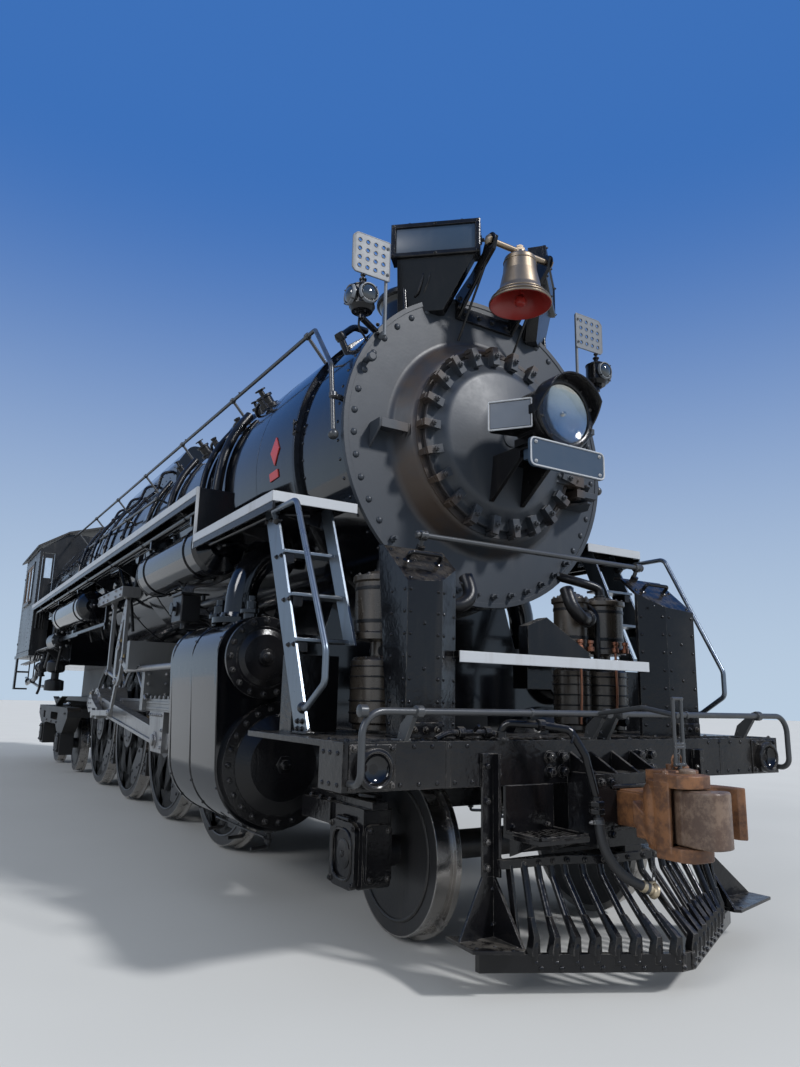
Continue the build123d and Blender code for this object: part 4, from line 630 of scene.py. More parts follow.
for x, h in ((-1000, 3560), (880, 3700)):
    front.turned((x, PLATE_FACE, h), AHEAD, ((22, 0), (22, 60), (34, 62), (34, 84), (24, 92)), 12)
front.box((-952, -728), (938, PLATE_FACE), (3112, 3126), 3)
for x in (-958, -736):
    front.plate("x", (x, x + 14), ((932, 3126), (PLATE_FACE, 3126), (PLATE_FACE, 2950), (932, 3060)))
front.plate("x", (-944, -736), ((932, 3126), (946, 3126), (946, 3066), (932, 3060)))
for h in (-260, 260):
    for v in (-64, 66):
        front.plate("z", (BOILER_H + h + v - 8, BOILER_H + h + v + 8), ((690, PLATE_FACE),
            (960, PLATE_FACE), (960, 990), (860, 880), (830, 830), (790, 826), (770, 900), (700, 960)))
    front.bolts([(x, 1060, BOILER_H + h + v) for x in (880, 930) for v in (-30, 30)], AHEAD, 16, 16)
front.done("smokebox_front_studs", "graphite", graphite)

drum = Work()
for d in (1150, 1700):
    for n in range(56):
        a = tau * n / 56
        drum.rivets([(SMOKEBOX_R * cos(a), d, BOILER_H + SMOKEBOX_R * sin(a))], (cos(a), 0, sin(a)), 12)
drum.turned((0, 1790, BOILER_H), AFT, ((1150, 0), (1188, 10), (1189, 40), (1189, 760), (1150, 770)), 128)
drum.done("smokebox_jacket", "jacket_black", jacket_black)
band = Work()
for d, radius, wide in ((1772, 1189, 44), (3650, 1191, 38), (4900, 1191, 38), (6150, 1191, 38),
        (7400, 1228, 38), (8650, 1284, 38), (9900, 1291, 38), (11150, 1291, 38), (12400, 1291, 38)):
    grow = 0.0455 if 6600 < d < 8800 else 0
    band.turned((0, d, BOILER_H), AFT, ((radius - 6, 0), (radius + 5, 3), (radius + 5 + wide * grow,
        wide - 3), (radius - 6, wide)), 128)
    for a in (0.12, pi - 0.12):
        place = ((radius + 4) * cos(a), d + wide / 2, BOILER_H + (radius + 4) * sin(a))
        band.box((place[0] - 12, place[0] + 12), (d - 6, d + wide + 6), (place[2] - 46, place[2] - 30))
        band.box((place[0] - 12, place[0] + 12), (d - 6, d + wide + 6), (place[2] + 30, place[2] + 46))
        band.bar((place[0] + 10 * cos(a), place[1], place[2] - 60), (place[0] + 10 * cos(a), place[1],
            place[2] + 60), 7)
band.done("jacket_bands", "jacket_black", black_paint)

red_enamel = weathered("red_enamel", (0.50, 0.045, 0.035), 0.30, dust=(0.45, 0.28, 0.24), dusting=0.3,
    lumps=0.1, worn=0.8, bare=(0.6, 0.45, 0.4), ease=0.002)
badges = Work()
for middle, low, outline in ((2140, 3166, ((-82, 6), (8, 118), (82, 0), (-8, -118))),
        (2150, 2972, ((-84, -26), (-76, 38), (84, 30), (76, -34)))):
    rings = []
    for out in (1190, 1198):
        rings.append([(-sqrt(out ** 2 - (low + v - BOILER_H) ** 2), middle + u, low + v)
            for u, v in outline])
    badges.skin(rings)
badges.done("blank_red_plates", "pale_plate", red_enamel)

# Smokebox door: a dished plate shut by a ring of clamps. Each clamp bridges the seam and is drawn down by a
# nut on a hinged stud. Two straps carry it on the left.
DOGS = 22
dogs = Work()
for n in range(DOGS):
    a = tau * (n + 0.5) / DOGS
    out = Vector((sin(a), 0, cos(a)))
    across = Vector((cos(a), 0, -sin(a)))

    def on_door(reach, off, d):
        return out.x * reach + across.x * off, d, BOILER_H + out.z * reach + across.z * off

    for depths, corners in (((832, 806), ((560, -30), (560, 30), (690, 24), (690, -24))),
            ((895, 832), ((672, -22), (672, 22), (700, 20), (700, -20))),
            ((858, 832), ((556, -26), (556, 26), (580, 26), (580, -26)))):
        dogs.skin([[on_door(r, o, d) for r, o in corners] for d in depths])
    dogs.bolts([on_door(622, 0, 806)], AHEAD, 19, 20)
    dogs.bar(on_door(622, 0, 770), on_door(622, 0, 806), 9, 8)
for h in (-165, 165):
    dogs.bolts(spots((460, 520, 640, 700), 840, BOILER_H + h), AHEAD, 16, 14)
dogs.turned((0, 760, BOILER_H), AHEAD, ((60, -4), (60, 4), (20, 8)), 24)
dogs.done("door_clamps", "graphite", graphite, "smokebox_door")

# Headlight: a spun steel drum under a deep hood, with a silvered bowl behind a bolted glass. A blank board
# stands at each side, and the plate below is a bare enamelled sheet in a raised rim.
give(black_paint, "headlight")
HEADLIGHT_H = 3131
mirror = weathered("mirror", (0.62, 0.60, 0.54), 0.10, dusting=0.1, drips=0.3, lumps=0.5, grain=14,
    worn=0, Metallic=1.0)
lamp_glass, lamp_place = new_finish("lamp_glass", Roughness=0.03, IOR=1.45, Transmission_Weight=1.0)
lamp_place.noise(7, 4).between(0.3, 0.8).mixed((0.96, 0.97, 0.98), (0.82, 0.84, 0.84)).feed("Base Color")
lamp_place.node("ShaderNodeBump", {}, {"Strength": 0.06, "Distance": 0.003, "Height": lamp_place.noise(30,
    2)}).feed("Normal")
enamel_blue = weathered("enamel_blue", (0.030, 0.052, 0.085), 0.34, dust=(0.10, 0.11, 0.12), dusting=0.25,
    lumps=0.05, ease=0.002, bare=(0.4, 0.42, 0.44))
pale_paint = weathered("pale_paint", (0.44, 0.46, 0.49), 0.42, dust=(0.26, 0.25, 0.24), dusting=0.6,
    drips=1.2, lumps=0.12, worn=0.7, bare=(0.22, 0.21, 0.20))
give(enamel_blue, "headlight_plate")
bezel, bowl, glass = Work(), Work(), Work()
bezel.turned((0, 224, HEADLIGHT_H), AHEAD, ((196, -2), (196, 12), (206, 18), (232, 18), (238, 10),
    (238, -24)), 64, caps=False)
bezel.bolts(ring_of((0, 206, HEADLIGHT_H), 219, 10, start=0.3), AHEAD, 8, 6)
bezel.turned((0, 270, HEADLIGHT_H), AHEAD, ((221, -8), (221, 8), (215, 12)), 64, caps=False)
for _ in both(bezel):
    bezel.box((212, 240), (240, 300), (HEADLIGHT_H - 30, HEADLIGHT_H + 30))
    bezel.bolts(spots((60, 140), 345, 3010), AHEAD, 10, 8)
bezel.pipe([(60, 500, HEADLIGHT_H + 190), (60, 560, HEADLIGHT_H + 260), (120, 700, HEADLIGHT_H + 150),
    (160, 800, 3090)], 14, 80)
bowl.turned((0, 244, HEADLIGHT_H), AHEAD, ((8, 0), (50, 1), (95, 4), (135, 8), (168, 13), (192, 19)),
    64, caps=False)
bowl.turned((0, 243, HEADLIGHT_H), AHEAD, ((15, 0), (15, 5), (9, 7), (9, 12), (12, 14), (5, 16)), 20)
glass.turned((0, 222, HEADLIGHT_H), AHEAD, ((194, 0), (194, 4), (150, 11), (90, 16), (30, 18), (4, 18)), 64)
bezel.done("headlight_bezel", "black_paint", black_paint, "smokebox_door")
bowl.done("headlight_mirror", "rod_steel", mirror, "smokebox_door")
glass.done("headlight_glass", "pale_plate", lamp_glass, "smokebox_door")
side_boards, rims = Work(), Work()
near, far = Vector((222, 285)), Vector((392, 508))
run = (far - near).normalized()
face = Vector((run.y, -run.x))


def board(inset, out):
    """The corners of a side board, drawn in from its edge and so far out from its sheet."""
    a, b = near + run * inset, far - run * inset
    low, high = HEADLIGHT_H - 114 + inset, HEADLIGHT_H + 76 - inset
    return [(*(corner + face * out), h) for corner, h in ((a, low), (b, low), (b, high), (a, high))]


for _ in both(side_boards, rims):
    side_boards.skin([board(10, -2), board(10, 3)])
    rims.pipe(board(0, 3), 6, 8, 8, loop=True)
rims.pipe([(-309, 199, 2734), (309, 199, 2734), (309, 199, 2909), (-309, 199, 2909)], 6, 36, 8, loop=True)
rims.bolts(spots((-270, 270), 199, (2760, 2884)), AHEAD, 9, 6)
side_boards.done("headlight_boards", "plate_grey", enamel_blue, "smokebox_door")
rims.done("plate_rims", "pale_plate", pale_paint, "smokebox_door")

# Boiler: plates riveted and lagged under polished sheet.
FIREBOX_R = 1291


def over(angle, radius):
    """A place on a circle round the boiler's middle line, so many degrees above the level."""
    a = radians(angle)
    return radius * cos(a), BOILER_H + radius * sin(a)


crown = Work()
for _ in both(crown):
    for d in range(10750, 13100, 560):
        for lift in (-0.16, 0.30):
            place = (FIREBOX_R * cos(lift), d, BOILER_H + FIREBOX_R * sin(lift))
            crown.turned(place, (cos(lift), 0, sin(lift)), ((62, -6), (62, 6), (46, 9), (24, 9), (24, 30),
                (20, 34)), 18)

    for d, end, radius in ((3320, 52, 44), (3880, 60, 30), (5000, 48, 38), (6050, 50, 26)):
        x, _ = over(0, JACKET_R + radius + 12)
        route = [(x + 40, d + 60, 2500), (x + 10, d + 30, 2900)]
        for angle in range(4, end, 12):
            x, h = over(angle, JACKET_R + radius + 12)
            route.append((x, d + angle * 3, h))
        crown.pipe(route, radius, 90, 12)
        x, h = over(end, JACKET_R + 20)
        way = (x, 0, h - BOILER_H)
        crown.turned((x, d + end * 3, h), way, ((radius * 2.2, -30), (radius * 2.2, 14), (radius * 1.5, 22),
            (radius * 1.5, 90), (radius * 1.9, 94), (radius * 1.9, 116), (radius * 0.6, 122),
            (radius * 0.6, 170), (radius * 1.3, 172), (radius * 1.3, 182), (10, 184)), 16)
        crown.bolts([(x, d + end * 3 + 52, h + 60)], UP, 16, 14)
    for d in (3000, 3600, 4300):
        x, h = over(38, JACKET_R + 30)
        crown.pipe([(x, d, h), (x + 30, d + 60, h + 60), (x + 10, d + 240, h + 50), (x - 40, d + 300,
            h + 10)], 16, 50)
        crown.turned((x, d, h - 30), (0.6, 0, 0.8), ((38, 0), (38, 46), (26, 50), (26, 90), (34, 94),
            (34, 110), (8, 114)), 8)
crown.pipe([(-880, 1560, 3800), (-950, 1580, 3960), (-830, 1600, 4080), (-700, 1640, 4100)], 26, 40)
crown.turned((-950, 1580, 3960), (-0.6, 0, 0.8), ((40, -30), (44, 0), (36, 30)), 12)
crown.done("boiler_pipes", "cast_black", cast_black)

# Stack, domes and what stands on the crown: a riveted sand dome with lids and its run of sand pipes, a
# round steam dome, safety valves, whistle and the turbine that drives the lamps.
give(jacket_black, "domes", "stack")
STACK_D, STEAM_DOME_D = 2050, 5350
top = Work()
top.turned((0, STACK_D, 4242), UP, ((392, -60), (370, 0), (330, 34), (300, 60), (294, 90)), 64)
top.turned((0, STACK_D, 4690), UP, ((322, -14), (338, 0), (340, 26), (330, 44)), 64)
top.turned((0, STACK_D, 4746), UP, ((230, -14), (224, 0), (300, 0)), 64, caps=False)
for d in range(7330, 10400, 205):
    for _ in both(top):
        top.rivets(spots(620, d, (4330, 4440)), OUT, 10)
for d in (7230, 10370):
    top.rivets(spots(range(-560, 561, 140), d - 30 if d < 8000 else d + 30, 4380),
        (0, -1 if d < 8000 else 1, 0), 11)
for d in (7800, 8800, 9800):
    top.turned((0, d, 4733), UP, ((230, 0), (230, 14), (212, 22), (40, 26)), 40)
top.turned((0, STEAM_DOME_D, 4640), UP, ((300, -2), (300, 6), (288, 12), (60, 14), (60, 26), (20, 28)), 48)
top.turned((0, STEAM_DOME_D, 4240), UP, ((580, -20), (540, 20), (524, 70)), 64)
for x, d in ((-190, 11350), (0, 11500), (190, 11350)):
    top.turned((x, d, 4390), UP, ((90, -30), (90, 10), (60, 16), (60, 60), (74, 66), (74, 150), (60, 160),
        (24, 164), (24, 190)), 20)
top.turned((430, 6300, 4360), (1, 0, 0), ((90, -140), (130, -120), (130, 40), (150, 46), (150, 110),
    (110, 124), (60, 130), (60, 190)), 24)
top.box((330, 560), (6200, 6400), (4160, 4240), 6)
top.pipe([(430, 6200, 4400), (430, 6080, 4480), (430, 6080, 4660)], 28, 60)
top.turned((-260, 11900, 4330), UP, ((30, 0), (30, 60), (60, 64), (60, 80), (42, 86), (42, 240), (20, 262),
    (8, 264)), 16)
for place in spots((-380, 380), (12560, 12720, 12880, 13040), 4545):
    top.turned(place, UP, ((26, 0), (26, 30), (12, 34), (12, 90), (44, 92), (44, 102), (10, 104)), 12)
for _ in both(top):
    for d in (7420, 8330, 9250, 10160):
        radius = 1200 + min(1, (d - 6600) / 2200) * 100 + 26
        route = [(600, d, 4400), (760, d, 4360)]
        for angle in range(50, -21, -10):
            x, h = over(angle, radius)
            route.append((x, d - (50 - angle) * 4, h))
        route += [(radius - 190, d - 300, 2450), (1030, d - 320, 2100)]
        top.pipe(route, 21, 80, 10)
        for angle in (40, 10):
            x, h = over(angle, radius)
            top.turned((x, d - (50 - angle) * 4 - 16, h), AFT, ((34, 0), (34, 32)), 10)
top.done("crown_fittings", "jacket_black", black_paint)

# Running boards: chequered steel plate on angle brackets, edged with a strip painted white. Pipes for air
# and steam run along below them in clips.
give(black_paint, "running_board_right", "running_board_left")
edging, boards = Work(), Work()
for _ in both(edging, boards):
    edging.box((1611, 1615), (1070, 2700), (2485, 2550), 2)
    edging.box((1027, 1614), (1067, 1072), (2485, 2550), 2)
    edging.box((1611, 1615), (2690, 13188), (2877, 2942), 2)
    edging.box((1590, 1615), (2687, 2697), (2437, 2942), 2)
    edging.turned((1590, 1092, 2485), UP, ((25, 0), (25, 65)), 24)
    for d in range(1110, 2680, 52):
        boards.box((1230, 1590), (d, d + 7), (2547, 2550), 0)
    for d in range(2740, 13150, 104):
        boards.box((1330, 1590), (d, d + 7), (2939, 2942), 0)
    for d in (3200, 4700, 6200, 7700, 9200, 10700, 12200):
        boards.bolts(spots((1350, 1560), d + 20, 2829), DOWN, 15, 12)
        boards.plate("y", (d + 8, d + 26), ((1195, 2829), (1560, 2829), (1225, 2640)))
        boards.plate("y", (d + 30, d + 62), ((1430, 2829), (1545, 2829), (1545, 2775), (1430, 2775)))
    for x, h, radius in ((1520, 2800, 24), (1462, 2806, 17), (1418, 2800, 13)):
        boards.pipe([(x, 2740, h - 200), (x, 2760, h), (x, 13050, h), (x, 13080, h - 300)], radius, 80)
    boards.pipe([(1300, 1200, 2460), (1500, 1300, 2460), (1500, 2600, 2470)], 15, 60)
    for d in (1300, 2000):
        boards.plate("y", (d, d + 14), ((1140, 2527), (1590, 2527), (1590, 2490), (1140, 2400)))
edging.done("white_edging", "pale_plate", pale_paint)
boards.done("board_fittings", "black_paint", black_paint)

# Front ladders: wide flat bars of bright steel, bolted through angle cleats to ribbed treads, each with a
# bent handrail held in forged eyes.
# The steel's grey is its own colour, but its blue cast is a painted reflection of the sky.
ladder_steel_with_painted_sky = weathered("ladder_steel_with_painted_sky", (0.17, 0.20, 0.235), 0.30, dusting=0.2, drips=0.8, lumps=0.05,
    grain=30, Metallic=0.8, dust=(0.10, 0.09, 0.08), bare=(0.6, 0.6, 0.6))
give(ladder_steel_with_painted_sky, "front_ladders")
ladders = Work()
for _ in both(ladders):
    for d, h in ((830, 1630), (930, 1900), (1080, 2180)):
        ladders.bolts([(1515, d + t, h - 18) for t in (35, 110)], OUT, 12, 9)
        ladders.box((1440, 1498), (d + 10, d + 140), (h - 60, h), 2)
        for t in range(12, 150, 22):
            ladders.box((1180, 1495), (d + t, d + t + 6), (h + 18, h + 22), 0)
    ladders.bolts([(1515, d, h) for d, h in ((1310, 2420), (1385, 2420), (700, 1190), (760, 1190),
        (700, 1150), (760, 1150))], OUT, 13, 10)
    ladders.turned((1512, 1222, 2402), (0, -1, 0.4), ((30, -8), (34, 10), (28, 34), (20, 40)), 12)
    ladders.turned((1512, 705, 1262), AHEAD, ((30, -14), (34, 6), (28, 26), (20, 32)), 12)
    ladders.box((1480, 1530), (610, 800), (1124, 1140))
    ladders.bolts(spots(1505, (640, 770), 1140), UP, 14, 10)
ladders.done("ladder_bolts", "black_paint", black_paint)

# Pilot beam: a heavy fabricated box under a chequered deck, thick with paint. Poling pockets are let into
# its ends, and the brake pipe drops over its face to a union above the hose.
beam_paint = weathered("beam_paint", (0.005, 0.005, 0.006), 0.19, dust=(0.16, 0.145, 0.125), dusting=0.5,
    drips=0.12, lumps=0.85, grain=28, worn=0.8, bare=(0.20, 0.185, 0.17), Specular_IOR_Level=0.35)
give(beam_paint, "pilot_beam", "pilot", "corner_steps")
beam, pockets = Work(), Work()
for _ in both(pockets, beam):
    pockets.turned((1474, -11, 1001), AHEAD, ((3, 0), (24, 1), (44, 5), (60, 13), (70, 26), (73, 33)),
        48, caps=False)
    beam.turned((1474, -44, 1001), AHEAD, ((74, -2), (74, 4), (80, 7), (94, 3), (96, -4)), 48, caps=False)
    beam.box((1350, 1598), (-8, 0), (905, 1112), 3)
    beam.bolts(spots((1372, 1576), -8, (925, 1092)), AHEAD, 13, 10)
    beam.bolts(spots(820, -15, (520, 640, 830, 1000)), AHEAD, 17, 14)
    beam.bolts(spots(765, -40, (560, 760, 960)), IN, 13, 10)
    beam.box((755, 850), (-24, -15), (1010, 1062))
    beam.bolts(spots((300, 390), -2, (960, 1035)), AHEAD, 27, 30)
    beam.rivets(spots(range(930, 1350, 105), 0, 1098), AHEAD, 12)
    beam.rivets(spots(range(900, 1350, 105), 0, 925), AHEAD, 12)
    beam.rivets(spots(1629, (50, 130, 200), (930, 1070)), OUT, 12)
    beam.box((377, 700), (-272, -262), (672, 688), 2)
    for x in (377, 690):
        beam.box((x, x + 10), (-272, -15), (672, 688), 2)
    for x in range(410, 690, 36):
        beam.box((x, x + 8), (-255, -30), (672, 677), 0)
    for x in (400, 672):
        beam.plate("x", (x, x + 8), ((-240, 650), (-15, 650), (-15, 560)))
    beam.bolts(spots((420, 655), -15, 700), AHEAD, 13, 12)
    for x in range(120, 1600, 60):
        beam.box((x, x + 8), (20, 226), (1122, 1126), 0)
    beam.bolts(spots((260, 700, 1180, 1590), (30, 215), 1122), UP, 11, 6)
    beam.box((1030, 1060), (-2, 0), (905, 1118), 2)
beam.bolts(spots((-220, -150, 150, 220), -205, (660, 920)), AHEAD, 18, 18)
beam.box((-150, 150), (-216, -205), (885, 905))
beam.box((-150, 150), (-216, -205), (680, 698))
for h in (776, 812):
    beam.turned((-318, -266, h), (0, 0.02, 1), ((36, 0), (40, 4), (40, 24), (34, 28)), 6)
beam.bar((-318, -266, 790), (-318, -266, 860), 27)
beam.turned((-700, 20, 1122), UP, ((44, 0), (44, 10), (30, 14), (30, 44)), 16)
beam.pipe([(-700, 20, 1150), (-760, 60, 1160), (-1010, 60, 1160), (-1080, 60, 1128)], 16, 30)
for place in ((-760, 60, 1160), (-930, 60, 1160), (-560, -130, 1204)):
    beam.turned((place[0] - 22, *place[1:]), (1, 0, 0), ((18, 0), (30, 3), (30, 40), (18, 44)), 8)
beam.bar((-850, 60, 1160), (-850, 10, 1196), 9)
beam.pipe([(-430, -216, 1182), (-438, -240, 1160), (-455, -240, 1120)], 7, 20, 8)
pockets.done("poling_pockets", "jacket_black", jacket_black)
beam.done("beam_bolts", "black_paint", beam_paint)

# Pilot: bent round bars, each forged flat into a foot where it is riveted to the bottom band, and bolted to
# the rail above.
bars = Work()
for _ in both(bars):
    for n in range(8):
        x = 690 * (1 - (n + 0.35) / 8)
        top = -118 if x > 407 else -118 - (407 - x) * 0.45 if x > 216 else -204
        foot = x * 1.03
        reach = -522 + max(0, foot - 45) * 0.4983
        middle = top + 0.62 * (reach + 4 - top)
        rings = []
        for half, front, back, h in ((13, middle - 16, middle + 10, 320), (24, reach - 10, reach + 24, 240),
                (36, reach - 3, reach + 30, 178), (36, reach - 4, reach + 30, 160)):
            rings.append([(foot + u, d, h) for u, d in ((-half, back), (half, back), (half * 0.7, front),
                (-half * 0.7, front))])
        bars.skin(rings)
        out = Vector((0.446, -0.895, 0))
        bars.rivets([(foot, reach, 128), (foot - 22, reach - 11, 104)], out, 13)
        lead = -218 if x < 216 else -130 - (407 - x) * 0.46 if x < 407 else -100 - (740 - x) * 0.09
        bars.bolts([(x, lead + 1, 546)], AHEAD, 12, 10)
    bars.box((45, 20), (-528, -490), (88, 162), 3)
    for x, d in ((792, -205), (830, -225), (870, -140), (960, -120)):
        bars.rivets([(x, d, 206)], UP, 9)
    bars.bolts(spots(782, -8, (260, 420)), OUT, 13, 10)
bars.done("pilot_feet", "black_paint", beam_paint)

# Pump shields: folded steel plate, riveted to angles inside and bolted to the deck. The walkway between
# them has a white front edge.
shield_paint = weathered("shield_paint", (0.004, 0.004, 0.005), 0.16, dust=(0.13, 0.11, 0.085), dusting=0.5,
    drips=0.2, lumps=0.6, grain=24, worn=0.8, bare=(0.20, 0.175, 0.14), Specular_IOR_Level=0.35)
give(shield_paint, "pump_shields")
shields = Work()
for _ in both(shields):
    for h in range(1190, 1900, 118):
        shields.rivets([(1132, 234, h), (938, 256, h)], AHEAD, 11)
        shields.rivets([(890, 273, h), (770, 347, h)], (-0.53, -0.85, 0), 11)
        shields.rivets([(1153, 262, h), (1153, 395, h)], OUT, 11)
    shields.rivets(spots(1035, 245, (1250, 1480, 1720)), AHEAD, 11)
    for h, t in ((1962, 0.09), (2090, 0.62), (2150, 0.88)):
        d = 232 + 268 * t
        shields.rivets(spots((790, 1120), d, 1940 + 235 * t + 1), (0, -0.66, 0.75), 11)
    shields.box((930, 1140), (216, 240), (1123, 1205))
    shields.bolts(spots((965, 1035, 1105), 216, 1165), AHEAD, 13, 10)
    shields.box((1120, 1160), (240, 420), (1122, 1136))
    for x in (850, 1060):
        shields.turned((x, 398, 2076), (0, -0.66, 0.75), ((26, -2), (26, 10), (17, 16)), 12)
    shields.bar((900, 520, 2172), (900, 500, 2200), 26)
    shields.turned((900, 480, 2248), UP, ((24, -16), (28, -8), (28, 26), (20, 32)), 12)
shields.bolts(spots((20, 440), 595, (1620, 1660)), AHEAD, 12, 10)
shields.done("shield_rivets", "black_paint", shield_paint)
walk = Work()
walk.box((-766, 766), (294, 300), (1528, 1592), 2)
walk.done("walkway_edge", "pale_plate", pale_paint)

# Air pumps: iron cylinders bolted one above the other, the steam end lagged and wrapped in steel, with
# copper unions and small pipes in front, and a wide flanged exhaust pipe between.
pump_metal = weathered("pump_metal", (0.115, 0.098, 0.082), 0.27, dust=(0.05, 0.04, 0.03), dusting=0.5,
    drips=1.2, Metallic=0.7, bare=(0.4, 0.34, 0.28), lumps=0.08, grain=20)
copper = weathered("copper", (0.40, 0.17, 0.10), 0.36, dust=(0.10, 0.07, 0.05), dusting=0.5, Metallic=0.85,
    bare=(0.75, 0.45, 0.3))
give(pump_metal, "air_pumps")
pumps, unions = Work(), Work()
for _ in both(pumps, unions):
    for x, d, steam, air in ((940, 880, 160, 175), (620, 860, 120, 130)):
        for h, radius in ((2050, steam + 2), (1700, steam + 2), (1545, air - 14)):
            pumps.bolts(ring_of((x, d, h), radius - 6, 12, "z"), UP, 11, 10)
        for h in (1230, 1300, 1370, 1440, 1500):
            pumps.turned((x, d, h), UP, ((air - 1, 0), (air + 7, 3), (air + 7, 9), (air - 1, 12)), 32)
        for h in (1760, 1960):
            pumps.turned((x, d, h), UP, ((steam - 1, 0), (steam + 4, 2), (steam + 4, 22),
                (steam - 1, 24)), 32)
        pumps.turned((x, d, 2085), UP, ((46, -2), (46, 16), (28, 20), (28, 50), (16, 54)), 12)
        pumps.turned((x, d - air - 2, 1200), AHEAD, ((34, -6), (34, 24), (22, 28), (22, 44)), 8)
        pumps.bar((x, d - 60, 1600), (x, d + 60, 1600), 42)
        unions.pipe([(x - 60, d - steam - 30, 1680), (x - 60, d - steam - 34, 1400),
            (x - 60, d - steam - 20, 1180)], 9, 40, 8)
        for u in (-60, 40):
            unions.turned((x + u, d - steam - 30, 1672), UP, ((14, 0), (24, 4), (24, 34), (15, 38),
                (15, 54), (21, 58), (21, 78), (12, 82)), 8)
    pumps.pipe([(940, 880, 2100), (940, 880, 2160), (800, 940, 2200), (700, 1100, 2260)], 34, 60, 12)
    pumps.pipe([(620, 700, 1900), (520, 640, 1880), (420, 640, 1960), (430, 700, 2090)], 46, 110, 16)
    pumps.turned((640, 712, 1900), (-0.9, -0.4, 0), ((64, 0), (64, 22), (50, 26)), 16)
    pumps.pipe([(780, 760, 1560), (780, 760, 1950), (780, 900, 2060)], 18, 60)
pumps.done("pump_fittings", "cast_black", cast_black)
unions.done("copper_unions", "hose_fitting", copper)

# Front rails: the uncoupling bar turns in forged brackets on the beam and lifts the lock by a link, and a
# cross rail is held in eyes on the shields.
give(clamp_steel, "front_rails", "handrails")
LIFT_BAR, CROSS_RAIL = (-105, 1264), (480, 2259)
rails = Work()
for x in (-1590, -1290, -55, 55, 1290):
    rails.turned((x - 22, *LIFT_BAR), (1, 0, 0), ((20, 0), (29, 4), (29, 40), (20, 44)), 12)
    if abs(x) < 1500:
        rails.bolts([(x, 40, 1160)], (0, -0.6, 0.8), 14, 12)
        rails.box((x - 30, x + 30), (5, 95), (1122, 1134))
for x in (-1290, 1290, -600, 600):
    rails.turned((x - 10, *LIFT_BAR), (1, 0, 0), ((18, 0), (23, 3), (23, 17), (18, 20)), 12)
for x in (-900, 900):
    rails.turned((x - 26, *CROSS_RAIL), (1, 0, 0), ((19, 0), (30, 5), (30, 47), (19, 52)), 12)
for x in (-939, 939):
    rails.turned((x - 10, *CROSS_RAIL), (1, 0, 0), ((16, 0), (24, 6), (24, 14), (16, 20)), 12)
rails.done("rail_eyes", "cast_black", clamp_steel)

# Coupler: a rough steel casting, brown with rust because nobody paints it. The knuckle turns on a pin, and
# a short chain ties the pin to the lift link.
def patches(place):
    """Grime that sits in patches and runs down the casting."""
    return place.noise(8, 6, 0.75).between(0.42, 0.58) * 0.85


coupler_rust = weathered("coupler_rust", (0.200, 0.088, 0.036), 0.48, dust=(0.10, 0.055, 0.035),
    dusting=0.7, drips=2.0, lumps=0.8, grain=42, worn=0.7, bare=(0.28, 0.16, 0.10), ease=0.008,
    tint=(patches, (0.075, 0.034, 0.018)))
knuckle_rust = weathered("knuckle_rust", (0.165, 0.112, 0.080), 0.36, dust=(0.16, 0.12, 0.09), dusting=0.7,
    drips=2.2, lumps=0.6, grain=50, worn=0.8, bare=(0.30, 0.24, 0.19), ease=0.008,
    tint=(patches, (0.070, 0.040, 0.028)))


def cast(work, name, stands_for, material, rounding, body="engine"):
    """The piece as a casting, its corners rounded, in place of the plain node."""
    piece = work.done(name, "coupler_rust", material, body)
    bevel = piece.modifiers.new("rounding", "BEVEL")
    bevel.width, bevel.segments, bevel.angle_limit = rounding / 1000, 4, radians(35)
    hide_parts(stands_for)


KNUCKLE_PIN = (-150, -690)
HEAD_OUTLINE = ((-105, -430), (-170, -462), (-225, -505), (-255, -555), (-262, -600), (-262, -668),
    (-60, -668), (-20, -590), (60, -585), (130, -560), (105, -430))
HEAD_WALL = (*HEAD_OUTLINE[:6], (-243, -668), (-243, -613), (-58, -613), (-38, -628), *HEAD_OUTLINE[7:])
GUARD_OUTLINE = ((40, -575), (70, -580), (118, -612), (146, -655), (160, -730), (185, -755), (212, -738),
    (215, -640), (200, -580), (165, -510), (105, -430), (40, -430))
LUG_OUTLINE = ((-261, -580), (-40, -580), (-60, -730), (-78, -762), (-110, -776), (-185, -778),
    (-225, -762), (-261, -720))
casting = Work()
casting.box((-105, 105), (-600, 20), (705, 875), 0)
casting.plate("z", (650, 965), HEAD_WALL, 0)
casting.plate("z", (690, 930), GUARD_OUTLINE, 0)
for low, high in ((652, 680), (940, 963)):
    casting.plate("z", (low, high), [(x * 0.985, d * 0.997) for x, d in HEAD_OUTLINE], 0)
for low, high in ((940, 1000), (620, 680)):
    casting.plate("z", (low, high), LUG_OUTLINE, 0)
casting.plate("z", (950, 1008), ((-188, -470), (38, -470), (56, -596), (-188, -600)), 0)
casting.plate("y", (-600, -440), ((-235, 690), (-110, 650), (110, 650), (150, 720), (-235, 780)), 0)
casting.turned((-195, -543, 0), UP, ((48, 668), (62, 690), (67, 760), (67, 850), (62, 925), (48, 947)), 32)
casting.plate("x", (-255, -190), ((-440, 760), (-560, 655), (-606, 655), (-606, 735), (-440, 860)), 0)
for low, high in ((612, 642), (978, 1004)):
    casting.turned((*KNUCKLE_PIN, 0), UP, ((52, low), (60, low + 6), (60, high - 6), (52, high)), 24)
cast(casting, "coupler_casting", "coupler", coupler_rust, 13)
small = Work()
small.bar((-60, -520, 1002), (-60, -520, 1032), 22)
small.turned((20, -530, 1006), UP, ((30, -2), (30, 14), (22, 22), (10, 26)), 16)
small.bolts([(-235, -630, 1000)], UP, 16, 12)
small.box((-96, 96), (-430, -210), (872, 884), 4)
RING = [(-60 + 34 * cos(a), -560, 1050 + 34 * sin(a)) for a in (i * tau / 20 for i in range(21))]
small.pipe(RING, 6, 4, 10)
